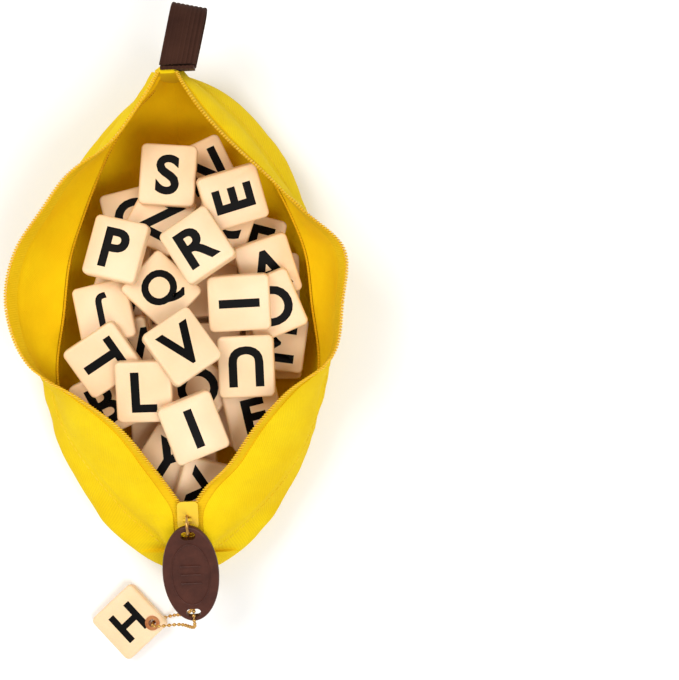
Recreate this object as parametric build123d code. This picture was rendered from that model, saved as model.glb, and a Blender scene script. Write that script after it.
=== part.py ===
from build123d import *
import math
import os
import random

import numpy as np

# A soft zipped pouch for a travel word game, standing open and full of letter tiles.
# Millimetres. The origin is the centre of the flat base on the table, +Y runs to the hang loop
# (the head), -Y to the zipper pull (the tail), and +Z is up.

os.makedirs("parts", exist_ok=True)

# ---------------------------------------------------------------- driving dimensions
FABRIC = 1.6              # thickness of a lined fabric panel
SEAM_GAP = 0.15           # between two panels sewn to each other
MOVE_GAP = 0.3            # between pieces on different bodies
HINGE_GAP = 0.8           # fold line under each flap

HEAD_REACH = 111.5        # from the middle to the head tip of the lower body
TAIL_REACH = 115.5        # from the middle to its tail tip
HALF_WIDTH = {"left": 67.5, "right": 64.0}   # widest point of the lower body
BASE_LENGTH = 168.0
BASE_HALF_WIDTH = 43.0
BULGE_SHARE = 0.48        # height of the widest line, as a share of the way up to the seam
UNDERSIDE = 0.3           # bottom edge of the lower panels above the table
END_LIFT = 17.0           # how far the body's underside rises at its two tips

TAPE_WIDTH = 5.0
TAPE_THICK = 1.2
COIL_WIDTH = 2.0
COIL_THICK = 2.0
PANEL_BOW = 2.2           # how far an upper panel bellies out between its seam and its zipper

BINDING_WIDTH = 4.0
BINDING_THICK = 0.9
BINDING_GAP = 0.3

SLICE_COUNTS = {"tail": 15, "flap": 7, "head": 14}   # slices of each zone of a side panel
PATCH_THICK = 1.4         # end patches and the sewn end of the webbing
HEAD_END_Y = HEAD_REACH + 0.1
HEAD_END_HALF_WIDTH = 6.5
HEAD_END_TOP = 49.0
HEAD_END_WIDEST = 38.0    # height where the head patch is widest
HEAD_END_DROP = 2.0       # how far it hangs below the lower panels' edge
TAIL_TAB_Y = -103.3
TAB_HALF_WIDTH = 7.0      # tail tab at its top, at its widest and at its rounded tip
TAB_FLARE = 8.5
TAB_TIP_HALF = 2.5
TAB_FLARE_DEPTH = 6.0     # depths below the zipper of the widest line and the tip
TAB_DEPTH = 8.5

ZIP_TAIL_HEIGHT = 46.0    # height of the closed end of the zipper
ZIP_LEVEL_FROM = -60.0    # towards the tail from here the two tapes turn level
ZIP_LEVEL_SPAN = 22.0
ZIP_HALF_GAP = 0.6        # half of the slit between the two coils where the zipper is closed
SLIDER_Y = -87.6
SLIDER_LENGTH = 12.0
SLIDER_WIDTH = 9.4
SLIDER_PLATE = 1.5
SLIDER_HEADROOM = 0.7     # between the coils and the slider's upper plate
FLANGE_INNER = 3.2        # from the middle to the inside of a slider flange
SLIDER_TRAVEL = 8.0       # from where it stands to the bottom stop
BOTTOM_STOP_Y = SLIDER_Y - SLIDER_LENGTH / 2 - SLIDER_TRAVEL - MOVE_GAP
BOTTOM_STOP_DEPTH = 1.0
BOTTOM_STOP_THICK = 0.45
SLIDER_CORNER = 1.8
BRIDGE_DEPTH = 2.5
FLANGE_INSET = 2.0        # from the slider's rear edge to its flanges
CROWN_BACK = 1.9          # from the slider's middle to the arch that the pull link hangs in
CROWN_RISE = 7.1          # from the tapes to the arch's bar
CROWN_Y = SLIDER_Y - CROWN_BACK
CROWN_Z = ZIP_TAIL_HEIGHT + CROWN_RISE
CROWN_BAR = 0.7           # radius of the arch's bar, half the depth of its posts
CROWN_POST = 1.1
LINK_RADIUS = 0.6         # wire of the pull link
LINK_CORNER = 1.9
LINK_UNDER = 0.8          # how far the link passes the slot's middle below the tag
LINK_OVER = [(0.6, 3.6), (4.5, 6.0)]   # its corners above the tag, Y and height from that slot
LINK_FRONT_RISE = 4.0     # height over the slot of the corner above the slider

TAG_LENGTH = 50.0
TAG_WIDTH = 25.5
TAG_THICK = 2.6
TAG_HOLE_LENGTH = 6.8
TAG_HOLE_WIDTH = 4.2
TAG_HOLE_INSET = 4.6      # from the tag's end to the middle of its hole
TAG_SLOPE = 27.0          # degrees that the tag slopes down over the tail
TAG_BACK = 6.5            # from the arch to the middle of the tag's upper slot
TAG_RISE = 0.9
TAG_HOLE_Y = CROWN_Y - TAG_BACK
TAG_HOLE_Z = CROWN_Z + TAG_RISE

BEAD_RADIUS = 1.0
BEAD_PITCH = 2.6
BEAD_LINK_RADIUS = 0.4
CHAIN_TAG_REACH = 9.0     # beads this near the tag's lower slot turn with the tag
CHAIN_FOB_REACH = 6.5     # beads this near the fob's eyelet turn with the fob
CHAIN_PAST_TAG = 2.4      # how far the chain clears the tag's lower end
CHAIN_OVER_FOB = 2.6
CHAIN_UNDER_FOB = 1.3

FOB_SIZE = 26.0
FOB_THICK = 6.0
FOB_YAW = 41.0
FOB_CENTRE = (-31.5, -139.0)
FOB_TILT = 6.0            # degrees, its eyelet side rests on the chain
FOB_HOLE_RADIUS = 2.5
FOB_EYELET_RADIUS = 1.8
FOB_EYELET_INSET = 5.2
FOB_EYELET_FIT = 0.1      # clearance of the eyelet in its hole and under its flange
FOB_EYELET_FLANGE = 0.9   # how far its flange reaches past the hole
FOB_EYELET_FLANGE_THICK = 0.5
FOB_EYELET_LIFT = 0.2     # from the fob's underside to the lower end of the eyelet
FOB_LIFT = 0.05           # of the fob's low corner above the ground
FOB_CORNER_IN = 1.0       # its rounded corner stands this far inside the sharp one

WEB_WIDTH = 16.0
WEB_THICK = 1.3
WEB_LENGTH = 29.0
WEB_GAP = 9.0             # between the two runs of the webbing where the loop is widest
WEB_LEAN = -13.0          # degrees about Z that the loop leans to the right
WEB_DROOP = -12.0         # degrees that it hangs below level
WEB_BASE_X = 4.5          # the webbing is sewn on a little to the right of the middle
WEB_BASE_Z = 56.0
WEB_END_GAP = 3.0         # between the two runs where they meet the anchor
WEB_BOW_AT = 0.3          # share of the length by which the runs have bowed to WEB_BOW_SHARE
WEB_BOW_SHARE = 0.8
ANCHOR_HALF_HEIGHT = 5.5

TILE_WIDTH = 25.5
TILE_LENGTH = 28.0
TILE_THICK = 6.0
TILE_CORNER = 2.5
TILE_EDGE = 0.9
TILE_GAP = 0.25           # clearance kept round each settled tile
TILE_LEAN = 11.0          # degrees that a tile on top may lean each way
HIDDEN_LEAN = 5.0
TILE_SEED = 7
HIDDEN_LAYERS = 3
HIDDEN_TOP = 21.0         # centre height up to which the hidden layers are filled
HIDDEN_PITCH_X, HIDDEN_PITCH_Y = 27.2, 29.8
INWARD_TRIES = 12         # a top tile that doesn't fit is tried again nearer the middle
INWARD_STEP = 0.02
PILE_SPAN = 60.0          # no two tiles lie further apart in height than this
TILES_FROM_Y, TILES_TO_Y = -97.0, 86.0
WALL_CLEARANCE = 4.2      # from the seam line to the tiles: fabric, binding and play
FLOOR_CLEARANCE = 0.7
ROOF_REACH = 3.0          # the upper panels roof the tiles from this far inside the zipper line
ROOF_CLEARANCE = 3.2

# Seam and zipper lines of each upper panel, from the tail to the head, as distance out from the
# middle, place along Y, and height. Three stations of each side carry the flap.
LEFT_LINES = {
    "tail": [
        ((9.0, -101.0, 39.5), (ZIP_HALF_GAP, -103.0, ZIP_TAIL_HEIGHT)),
        ((18.0, -93.0, 38.0), (ZIP_HALF_GAP, -95.0, ZIP_TAIL_HEIGHT)),
        ((26.0, -85.5, 37.0), (ZIP_HALF_GAP + 0.5, -86.0, ZIP_TAIL_HEIGHT)),
        ((35.0, -75.0, 35.5), (6.0, -77.0, 46.8)),
        ((45.0, -62.0, 34.0), (15.0, -63.0, 53.0)),
        ((53.5, -48.0, 33.0), (27.0, -47.0, 58.0)),
        ((58.5, -34.0, 33.0), (45.0, -32.5, 59.0)),
        ((60.0, -20.0, 33.0), (65.5, -19.1, 58.0)),
    ],
    "flap": [
        ((60.0, -20.0, 33.0), (65.5, -19.1, 58.0)),
        ((56.0, 5.0, 33.0), (77.0, 8.4, 55.0)),
        ((52.0, 30.0, 33.0), (72.0, 33.2, 56.0)),
    ],
    "head": [
        ((52.0, 30.0, 33.0), (72.0, 33.2, 56.0)),
        ((45.0, 49.0, 35.0), (58.0, 52.0, 60.0)),
        ((38.0, 65.0, 37.5), (45.5, 66.5, 63.5)),
        ((30.0, 80.0, 40.5), (25.0, 80.0, 66.0)),
        ((19.0, 95.0, 43.5), (12.5, 95.0, 67.0)),
        ((8.0, 106.0, 45.5), (5.5, 105.5, 66.0)),
        ((5.0, 111.0, 46.5), (3.2, 110.5, 62.0)),
    ],
}
RIGHT_LINES = {
    "tail": [
        ((9.0, -103.0, 39.5), (ZIP_HALF_GAP, -103.0, ZIP_TAIL_HEIGHT)),
        ((19.0, -96.0, 38.0), (ZIP_HALF_GAP, -95.0, ZIP_TAIL_HEIGHT)),
        ((28.0, -88.5, 37.0), (ZIP_HALF_GAP + 0.5, -86.0, ZIP_TAIL_HEIGHT)),
        ((38.0, -78.5, 35.5), (6.5, -77.0, 46.8)),
        ((47.5, -66.0, 34.0), (18.5, -65.5, 53.0)),
        ((56.0, -52.0, 33.0), (31.0, -49.0, 58.0)),
        ((61.5, -36.0, 33.0), (46.0, -34.0, 59.5)),
        ((64.0, -20.0, 33.0), (66.5, -19.8, 60.0)),
    ],
    "flap": [
        ((64.0, -20.0, 33.0), (66.5, -19.8, 60.0)),
        ((62.0, 4.0, 33.0), (73.0, 4.9, 60.5)),
        ((60.0, 28.0, 33.0), (74.5, 29.2, 60.0)),
    ],
    "head": [
        ((60.0, 28.0, 33.0), (74.5, 29.2, 60.0)),
        ((54.0, 46.0, 34.5), (57.0, 46.5, 61.5)),
        ((46.5, 62.0, 37.0), (41.5, 62.5, 64.0)),
        ((37.5, 78.0, 40.0), (25.5, 78.0, 66.5)),
        ((25.5, 93.0, 43.0), (13.0, 93.0, 68.0)),
        ((12.0, 105.5, 45.5), (5.5, 105.5, 67.0)),
        ((5.0, 111.0, 46.5), (3.2, 110.5, 62.0)),
    ],
}
SIDES = {"left": (-1, LEFT_LINES), "right": (1, RIGHT_LINES)}
HEAD_TAPER = {"left": 0.74, "right": 0.52}   # exponent of the body's taper towards the head
TAIL_TAPER = 0.55
TAIL_RIDGE = [(-106.0, 36.0), (-111.5, 30.5), (-114.6, 26.5)]   # Y and height of the tail's top line

# Letter tiles that show on top: letter, X, Y and turn in degrees, lowest first.
TOP_TILES = [
    ("G", -24, 55, 12), ("N", 14, 72, 24), ("K", -30, 8, 160), ("W", -27, -12, 8),
    ("H", 36, 38, 75), ("C", 22, 46, -20), ("O", 6, -31, 50), ("A", 40, 22, 15),
    ("Z", -8, 47, -30), ("D", -40, 33, 40), ("M", 50, -14, 80), ("B", -36, -36, 25),
    ("F", 31, -45, 10), ("O", 47, 6, 20), ("J", -44, 6, 190), ("I", 27, 7, 90),
    ("Y", -10, -64, -35), ("T", -44, -20, -58), ("S", -3, 66, -6), ("E", 27, 57, 103),
    ("U", 29, -22, 180), ("X", 8, -77, 70), ("L", -18, -33, 0), ("I", 5, -56, 18),
    ("Q", -8, 14, 45), ("P", -27, 33, -17), ("V", 1, -12, 34), ("R", 10, 33, 30),
]
LOOSE_TILES = [("I", 5), ("V", 1), ("R", 10)]   # letter and X of the tiles that nothing lies on


def save(name, *solids):
    """Write one named piece, which may be a group of separate solids."""
    shape = solids[0] if len(solids) == 1 else Compound(children=list(solids))
    export_step(shape, f"parts/{name}.step")


# ---------------------------------------------------------------- fabric panels
def body_reach(y):
    return HEAD_REACH if y > 0 else TAIL_REACH


def body_half_width(y, side):
    """Distance from the middle to the widest line of the lower body at y."""
    share = max(1 - (y / body_reach(y)) ** 2, 0.0)
    return HALF_WIDTH[side] * share ** (HEAD_TAPER[side] if y > 0 else TAIL_TAPER)


def base_half_width(y):
    return BASE_HALF_WIDTH * max(1 - (2 * y / BASE_LENGTH) ** 2, 0.0)


def underside(y):
    """Height of the bottom edge of the lower panels: level, then rising towards each tip."""
    level_to = BASE_LENGTH / 2
    rise = max(0.0, abs(y) - level_to) / (body_reach(y) - level_to)
    return UNDERSIDE + END_LIFT * rise ** 1.5


def smooth_stations(side):
    """Even stations of each zone, on smooth lines through the chosen seam and zipper points."""
    lines = SIDES[side][1]
    chosen = lines["tail"] + lines["flap"][1:] + lines["head"][1:]
    points = np.array([[*seam, *rim] for seam, rim in chosen])
    steps = np.linalg.norm(np.diff(points, axis=0), axis=1)
    place = np.concatenate([[0.0], np.cumsum(steps)])
    slopes = np.diff(points, axis=0) / steps[:, None]
    tangents = np.vstack([slopes[:1], np.zeros((len(points) - 2, 6)), slopes[-1:]])
    fold_start, fold_end = len(lines["tail"]) - 1, len(lines["tail"]) + 1
    for i in range(1, len(points) - 1):
        weight = steps[i - 1] / (steps[i - 1] + steps[i])
        tangents[i] = slopes[i - 1] * (1 - weight) + slopes[i] * weight
    tangents[fold_start], tangents[fold_end] = slopes[fold_start], slopes[fold_end - 1]

    def at(s):
        i = min(int(np.searchsorted(place, s, side="right")) - 1, len(steps) - 1)
        t = (s - place[i]) / steps[i]
        blend = (2 * t**3 - 3 * t**2 + 1, t**3 - 2 * t**2 + t, 3 * t**2 - 2 * t**3, t**3 - t**2)
        return (blend[0] * points[i] + blend[1] * steps[i] * tangents[i]
                + blend[2] * points[i + 1] + blend[3] * steps[i] * tangents[i + 1])

    zones = {}
    for zone, first, last in (("tail", 0, fold_start), ("flap", fold_start, fold_end),
                              ("head", fold_end, len(points) - 1)):
        low = place[first] + (MOVE_GAP if zone != "tail" else 0.0)
        high = place[last] - (MOVE_GAP if zone != "head" else 0.0)
        count = int(SLICE_COUNTS[zone])
        rows = [at(low + (high - low) * k / (count - 1)) for k in range(count)]
        zones[zone] = [(tuple(row[:3]), tuple(row[3:])) for row in rows]
    return zones


def closed_wire(*edges):
    return Wire(list(edges))


def strip_through(wires):
    return Solid.make_loft(wires, ruled=True)


def lower_slice(side, y, seam_out, seam_height):
    """Cross-section of a lower panel in the plane at y, up to its seam."""
    sign = SIDES[side][0]
    foot_out = base_half_width(y) + SEAM_GAP
    foot = underside(y)
    wide = max(body_half_width(y, side), seam_out + 1.0, foot_out + FABRIC + 1.5)
    middle = foot + (seam_height - foot) * BULGE_SHARE
    seam_in = max(seam_out - FABRIC, SEAM_GAP)
    lip = 0.0 if seam_out - FABRIC >= SEAM_GAP else FABRIC
    outline = [(foot_out, foot), (wide, middle), (seam_out, seam_height),
               (seam_in, seam_height - lip), (wide - FABRIC, middle), (foot_out, foot + FABRIC)]
    p = [Vector(sign * out, y, height) for out, height in outline]
    away, over = Vector(sign, 0, 0.05), Vector(-0.35 * sign, 0, 1)
    if lip:
        over = Vector(-sign, 0, 0.25)
    return closed_wire(Edge.make_spline(p[:3], tangents=[away, over]), Edge.make_line(p[2], p[3]),
                       Edge.make_spline(p[3:], tangents=[over * -1, away * -1]),
                       Edge.make_line(p[5], p[0]))


def lower_panel(side):
    stations = [(y, SEAM_GAP + 0.2, top) for y, top in reversed(TAIL_RIDGE)]
    zones = smooth_stations(side)
    stations += [(seam[1], seam[0], seam[2]) for zone in zones.values() for seam, _ in zone]
    return strip_through([lower_slice(side, *station) for station in stations])


def zip_points(side, seam, rim):
    """Inner seam point, rim, way to the rim, normal of the strip and level way out of one slice."""
    sign = SIDES[side][0]
    s = Vector(sign * seam[0], seam[1], seam[2])
    r = Vector(sign * rim[0], rim[1], rim[2])
    level = Vector(r.X - s.X, r.Y - s.Y, 0).normalized()
    outward = level if level.X * sign > 0 else level * -1
    s = s - outward * FABRIC
    straight = (r - s).normalized()
    flat = min(max((ZIP_LEVEL_FROM - rim[1]) / ZIP_LEVEL_SPAN, 0.0), 1.0)
    along = (straight * (1 - flat) - outward * flat).normalized()
    normal = (outward - along * outward.dot(along))
    normal = normal.normalized() if normal.length > 1e-3 else Vector(0, 0, 1)
    if flat > 0:
        normal = Vector(0, 0, 1) - along * along.Z
        normal = normal.normalized()
    return s, r, along, normal, outward


def upper_slice(side, seam, rim, part, low_gap):
    """Cross-section of one strip of an upper panel: the fabric, the tape or the coil."""
    s, r, along, normal, outward = zip_points(side, seam, rim)
    edge = r - along * (COIL_WIDTH + TAPE_WIDTH)
    if part == "fabric":
        foot_in = Vector(s.X, s.Y, s.Z + low_gap)
        foot_out = foot_in + outward * FABRIC
        end_in = edge - along * SEAM_GAP
        end_out = end_in + normal * FABRIC
        way = (end_in - foot_in).normalized()
        belly = (outward - way * outward.dot(way)).normalized() * PANEL_BOW
        return closed_wire(
            Edge.make_three_point_arc(foot_out, (foot_out + end_out) * 0.5 + belly, end_out),
            Edge.make_line(end_out, end_in),
            Edge.make_three_point_arc(end_in, (foot_in + end_in) * 0.5 + belly, foot_in),
            Edge.make_line(foot_in, foot_out))
    if part == "tape":
        a, b, thick = edge, r - along * (COIL_WIDTH + SEAM_GAP), TAPE_THICK
    else:
        a, b, thick = r - along * COIL_WIDTH, r, COIL_THICK
    return Wire.make_polygon([a, b, b + normal * thick, a + normal * thick], close=True)


def upper_strip(side, zone, part):
    low_gap = HINGE_GAP if zone == "flap" else SEAM_GAP
    rows = smooth_stations(side)[zone]
    return strip_through([upper_slice(side, seam, rim, part, low_gap) for seam, rim in rows])


def binding_slice(side, seam):
    """Overlocked seam allowance that stands against the inside of the seam."""
    sign = SIDES[side][0]
    outer = seam[0] - FABRIC - BINDING_GAP
    inner = outer - BINDING_THICK
    top = seam[2] - BINDING_GAP
    low = top - BINDING_WIDTH
    corners = [(outer, top), (outer, low), (inner, low), (inner, top)]
    return Wire.make_polygon([Vector(sign * out, seam[1], height) for out, height in corners], close=True)


def seam_binding(side):
    zones = smooth_stations(side)
    seams = [seam for zone in zones.values() for seam, _ in zone]
    return strip_through([binding_slice(side, seam) for seam in seams[3:-2]])


def base_panel():
    """Flat leaf-shaped base, pointed at both ends."""
    half = BASE_LENGTH / 2
    tail, head = Vector(0, -half, 0), Vector(0, half, 0)
    ys = [half * k / 4 for k in range(-3, 4)]
    right = [Vector(base_half_width(y), y, 0) for y in ys]
    left = [Vector(-p.X, p.Y, 0) for p in reversed(right)]
    outline = Wire([Edge.make_spline([tail, *right, head]), Edge.make_spline([head, *left, tail])])
    return extrude(Face(outline), amount=FABRIC, dir=(0, 0, 1))


def box_between(low, high):
    size = [b - a for a, b in zip(low, high)]
    return Pos(*[(a + b) / 2 for a, b in zip(low, high)]) * Box(*size)


def head_end_patch():
    """Leaf-shaped patch that closes the two lower panels at the head."""
    half, y = HEAD_END_HALF_WIDTH, HEAD_END_Y
    bottom = Vector(0, y, underside(HEAD_REACH) - HEAD_END_DROP)
    top = Vector(0, y, HEAD_END_TOP)
    outline = Wire([Edge.make_three_point_arc(bottom, Vector(half, y, HEAD_END_WIDEST), top),
                    Edge.make_three_point_arc(top, Vector(-half, y, HEAD_END_WIDEST), bottom)])
    return extrude(Face(outline), amount=PATCH_THICK, dir=(0, 1, 0))


def zip_end_tab():
    """Patch sewn across the closed end of the zipper."""
    half = [(TAB_HALF_WIDTH, ZIP_TAIL_HEIGHT + TAPE_THICK), (TAB_FLARE, ZIP_TAIL_HEIGHT - TAB_FLARE_DEPTH),
            (TAB_TIP_HALF, ZIP_TAIL_HEIGHT - TAB_DEPTH)]
    outline = half + [(-x, z) for x, z in reversed(half)]
    face = Face(Wire.make_polygon([Vector(x, TAIL_TAB_Y, z) for x, z in outline], close=True))
    return extrude(face, amount=PATCH_THICK, dir=(0, -1, 0))


# ---------------------------------------------------------------- zipper hardware
def bottom_stop():
    """Small clamp across the two coils, where the slider's travel ends."""
    y0, y1 = BOTTOM_STOP_Y - BOTTOM_STOP_DEPTH, BOTTOM_STOP_Y
    top = ZIP_TAIL_HEIGHT + COIL_THICK + SEAM_GAP
    low = ZIP_TAIL_HEIGHT - SEAM_GAP
    half = ZIP_HALF_GAP + COIL_WIDTH
    slit = ZIP_HALF_GAP - SEAM_GAP
    clamp = box_between((-half, y0, top), (half, y1, top + BOTTOM_STOP_THICK))
    clamp += box_between((-half, y0, low - BOTTOM_STOP_THICK), (half, y1, low))
    clamp += box_between((-slit, y0, low), (slit, y1, top))
    return clamp.solid()


def slider_body():
    """Two plates joined by a thin bridge, with two upper flanges and an arch for the pull link."""
    half, wide = SLIDER_LENGTH / 2, SLIDER_WIDTH / 2
    rear, front = SLIDER_Y - half, SLIDER_Y + half
    low = ZIP_TAIL_HEIGHT - MOVE_GAP
    high = ZIP_TAIL_HEIGHT + COIL_THICK + SLIDER_HEADROOM
    body = box_between((-wide, rear, low - SLIDER_PLATE), (wide, front, low))
    body += box_between((-wide, rear, high), (wide, front, high + SLIDER_PLATE))
    body = fillet(body.edges().filter_by(Axis.Z), SLIDER_CORNER)
    bridge = ZIP_HALF_GAP - MOVE_GAP
    body += box_between((-bridge, front - BRIDGE_DEPTH, low), (bridge, front, high))
    flange_low = ZIP_TAIL_HEIGHT + TAPE_THICK + MOVE_GAP
    for x0, x1 in ((FLANGE_INNER, wide), (-wide, -FLANGE_INNER)):
        body += box_between((x0, rear + FLANGE_INSET, flange_low), (x1, SLIDER_Y, high))
    reach = LINK_RADIUS + MOVE_GAP
    y0, y1 = CROWN_Y - CROWN_BAR, CROWN_Y + CROWN_BAR
    for x0, x1 in ((reach, reach + CROWN_POST), (-reach - CROWN_POST, -reach)):
        body += box_between((x0, y0, high + SLIDER_PLATE / 2), (x1, y1, CROWN_Z))
    bar = Cylinder(CROWN_BAR, 2 * (reach + CROWN_POST))
    body += Pos(0, CROWN_Y, CROWN_Z) * Rot(0, 90, 0) * bar
    return body.solid()


def pull_link():
    """Upright wire loop: through the slider's crown, up the tag's slot and back over the tag's end."""
    front, low = CROWN_Y + LINK_CORNER, CROWN_Z - LINK_CORNER
    corners = [(front, low), (TAG_HOLE_Y - LINK_UNDER, low)]
    corners += [(TAG_HOLE_Y + y, TAG_HOLE_Z + z) for y, z in LINK_OVER]
    corners.append((front, TAG_HOLE_Z + LINK_FRONT_RISE))
    path = Wire.make_polygon([Vector(0, y, z) for y, z in corners], close=True)
    path = path.fillet_2d(LINK_CORNER, path.vertices())
    section = Plane(origin=path @ 0, z_dir=path % 0) * Circle(LINK_RADIUS)
    return sweep(section, path=path).solid()


def tag_plane():
    """Plane of the tag's mid-thickness: X across, Y towards its upper end."""
    slope = math.radians(TAG_SLOPE)
    return Plane(origin=(0, TAG_HOLE_Y, TAG_HOLE_Z), x_dir=(1, 0, 0),
                 z_dir=(0, -math.sin(slope), math.cos(slope)))


def pull_tag():
    """Oval tag with a slot near each end, its middle below the upper slot."""
    middle = TAG_LENGTH / 2 - TAG_HOLE_INSET
    oval = Pos(0, -middle) * Ellipse(TAG_WIDTH / 2, TAG_LENGTH / 2)
    slot = SlotOverall(TAG_HOLE_LENGTH, TAG_HOLE_WIDTH)
    face = oval - slot - Pos(0, -2 * middle) * slot
    tag = extrude(face, amount=TAG_THICK / 2, both=True)
    rim = tag.faces().filter_by(Axis.Z).edges().filter_by(lambda e: e.length > TAG_LENGTH)
    return (tag_plane().location * fillet(rim, TAG_THICK / 3)).solid()


def tag_low_hole():
    """Middle of the lower slot of the tag, in the pouch's frame."""
    return tag_plane().from_local_coords(Vector(0, -(TAG_LENGTH - 2 * TAG_HOLE_INSET), 0))


# ---------------------------------------------------------------- bead chain and fob
def fob_plane():
    """Underside of the fob tile, raised on the side of its eyelet by the chain that passes under."""
    across = Vector(1, 0, math.tan(math.radians(FOB_TILT))).normalized()
    up = across.cross(Vector(0, 1, 0))
    reach = FOB_SIZE / math.sqrt(2) - FOB_CORNER_IN
    far = Vector(FOB_CENTRE[0] - reach, FOB_CENTRE[1], FOB_LIFT)
    middle = far + across * (FOB_CENTRE[0] - far.X) / across.X
    yaw = math.radians(FOB_YAW)
    side = across * math.cos(yaw) + Vector(0, 1, 0) * math.sin(yaw)
    return Plane(origin=middle, x_dir=side, z_dir=up)


def fob_tile():
    tile = Box(FOB_SIZE, FOB_SIZE, FOB_THICK, align=(Align.CENTER, Align.CENTER, Align.MIN))
    tile = fillet(tile.edges().filter_by(Axis.Z), TILE_CORNER)
    tile = fillet(tile.faces().sort_by(Axis.Z)[-1].edges(), TILE_EDGE)
    reach = FOB_SIZE / 2 - FOB_EYELET_INSET
    tile -= Pos(reach, -reach, 0) * Cylinder(FOB_HOLE_RADIUS, 3 * FOB_THICK)
    return (fob_plane().location * tile).solid()


def fob_eyelet():
    """Copper-coloured eyelet: a short tube with a flange on top."""
    base = (Align.CENTER, Align.CENTER, Align.MIN)
    reach = FOB_SIZE / 2 - FOB_EYELET_INSET
    tube = Cylinder(FOB_HOLE_RADIUS - FOB_EYELET_FIT, FOB_THICK, align=base)
    flange = Cylinder(FOB_HOLE_RADIUS + FOB_EYELET_FLANGE, FOB_EYELET_FLANGE_THICK, align=base)
    tube = Pos(0, 0, FOB_EYELET_LIFT) * tube
    flange = Pos(0, 0, FOB_THICK + FOB_EYELET_FIT) * flange
    ring = tube + flange - Cylinder(FOB_EYELET_RADIUS, 4 * FOB_THICK)
    return (fob_plane().location * Pos(reach, -reach, 0) * ring).solid()


def chain_points():
    """Loop of beads through the tag's lower slot, down to the fob, through its eyelet and back."""
    hole = tag_low_hole()
    slope = math.radians(TAG_SLOPE)
    up = Vector(0, math.sin(-slope), math.cos(slope))
    down = Vector(0, -math.cos(slope), -math.sin(slope))
    past = hole + down * (TAG_HOLE_INSET + CHAIN_PAST_TAG)
    reach = FOB_SIZE / 2 - FOB_EYELET_INSET
    fob = fob_plane()
    above = fob.from_local_coords(Vector(reach, -reach, FOB_THICK + CHAIN_OVER_FOB))
    below = fob.from_local_coords(Vector(reach, -reach, -CHAIN_UNDER_FOB))
    inside = fob.from_local_coords(Vector(reach, -reach, FOB_THICK / 2))
    return [hole, hole + up * 3.0 + down * 1.0, past + up * 1.2, past + Vector(-2.5, -1.8, -6.0),
            Vector(-9.0, past.Y - 1.5, 17.0), above + Vector(1.2, -1.0, 1.0), inside,
            below + Vector(1.8, 0.6, 0), below + Vector(6.5, 2.0, 0.2),
            Vector(-7.0, past.Y + 2.2, 9.0), Vector(-1.8, hole.Y - 0.6, 20.5), hole - up * 3.6]


def bead_chain():
    """Beads strung on a fine wire, as three groups: at the tag, the two free runs, at the fob.

    One bead is left out wherever two groups meet, so that the groups can turn on each other.
    """
    loop = Edge.make_spline(chain_points(), periodic=True)
    count = round(loop.length / BEAD_PITCH)
    centres = [loop @ (k / count) for k in range(count)]
    hole = tag_low_hole()
    reach = FOB_SIZE / 2 - FOB_EYELET_INSET
    eye = fob_plane().from_local_coords(Vector(reach, -reach, FOB_THICK / 2))

    def group_of(centre):
        if (centre - hole).length < CHAIN_TAG_REACH:
            return "chain_at_tag"
        return "chain_at_fob" if (centre - eye).length < CHAIN_FOB_REACH else "chain_runs"

    names = [group_of(centre) for centre in centres]
    kept = [names[k - 1] == names[k] == names[(k + 1) % count] or names[k] != "chain_runs"
            for k in range(count)]
    groups = {}
    for k, centre in enumerate(centres):
        after = (k + 1) % count
        if not kept[k]:
            continue
        pieces = groups.setdefault(names[k], [])
        way = centres[after] - centre
        aside = way.cross(Vector(0, 1, 0))
        pieces.append(Plane(origin=centre, x_dir=aside, z_dir=way.cross(aside)).location
                      * Sphere(BEAD_RADIUS))
        if names[after] == names[k] and kept[after]:
            link = Cylinder(BEAD_LINK_RADIUS, way.length, align=(Align.CENTER, Align.CENTER, Align.MIN))
            pieces.append(Plane(origin=centre, z_dir=way).location * link)
    return {name: pieces[0].fuse(*pieces[1:]).solids() for name, pieces in groups.items()}


# ---------------------------------------------------------------- hang loop
def loop_plane():
    """Side view plane of the loop: X along the loop, Y up."""
    lean, droop = math.radians(WEB_LEAN), math.radians(WEB_DROOP)
    out = Vector(-math.sin(lean) * math.cos(droop), math.cos(lean) * math.cos(droop), math.sin(droop))
    across = Vector(math.cos(lean), math.sin(lean), 0)
    return Plane(origin=(WEB_BASE_X, HEAD_END_Y + PATCH_THICK + MOVE_GAP, WEB_BASE_Z), x_dir=out,
                 z_dir=across)


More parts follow.
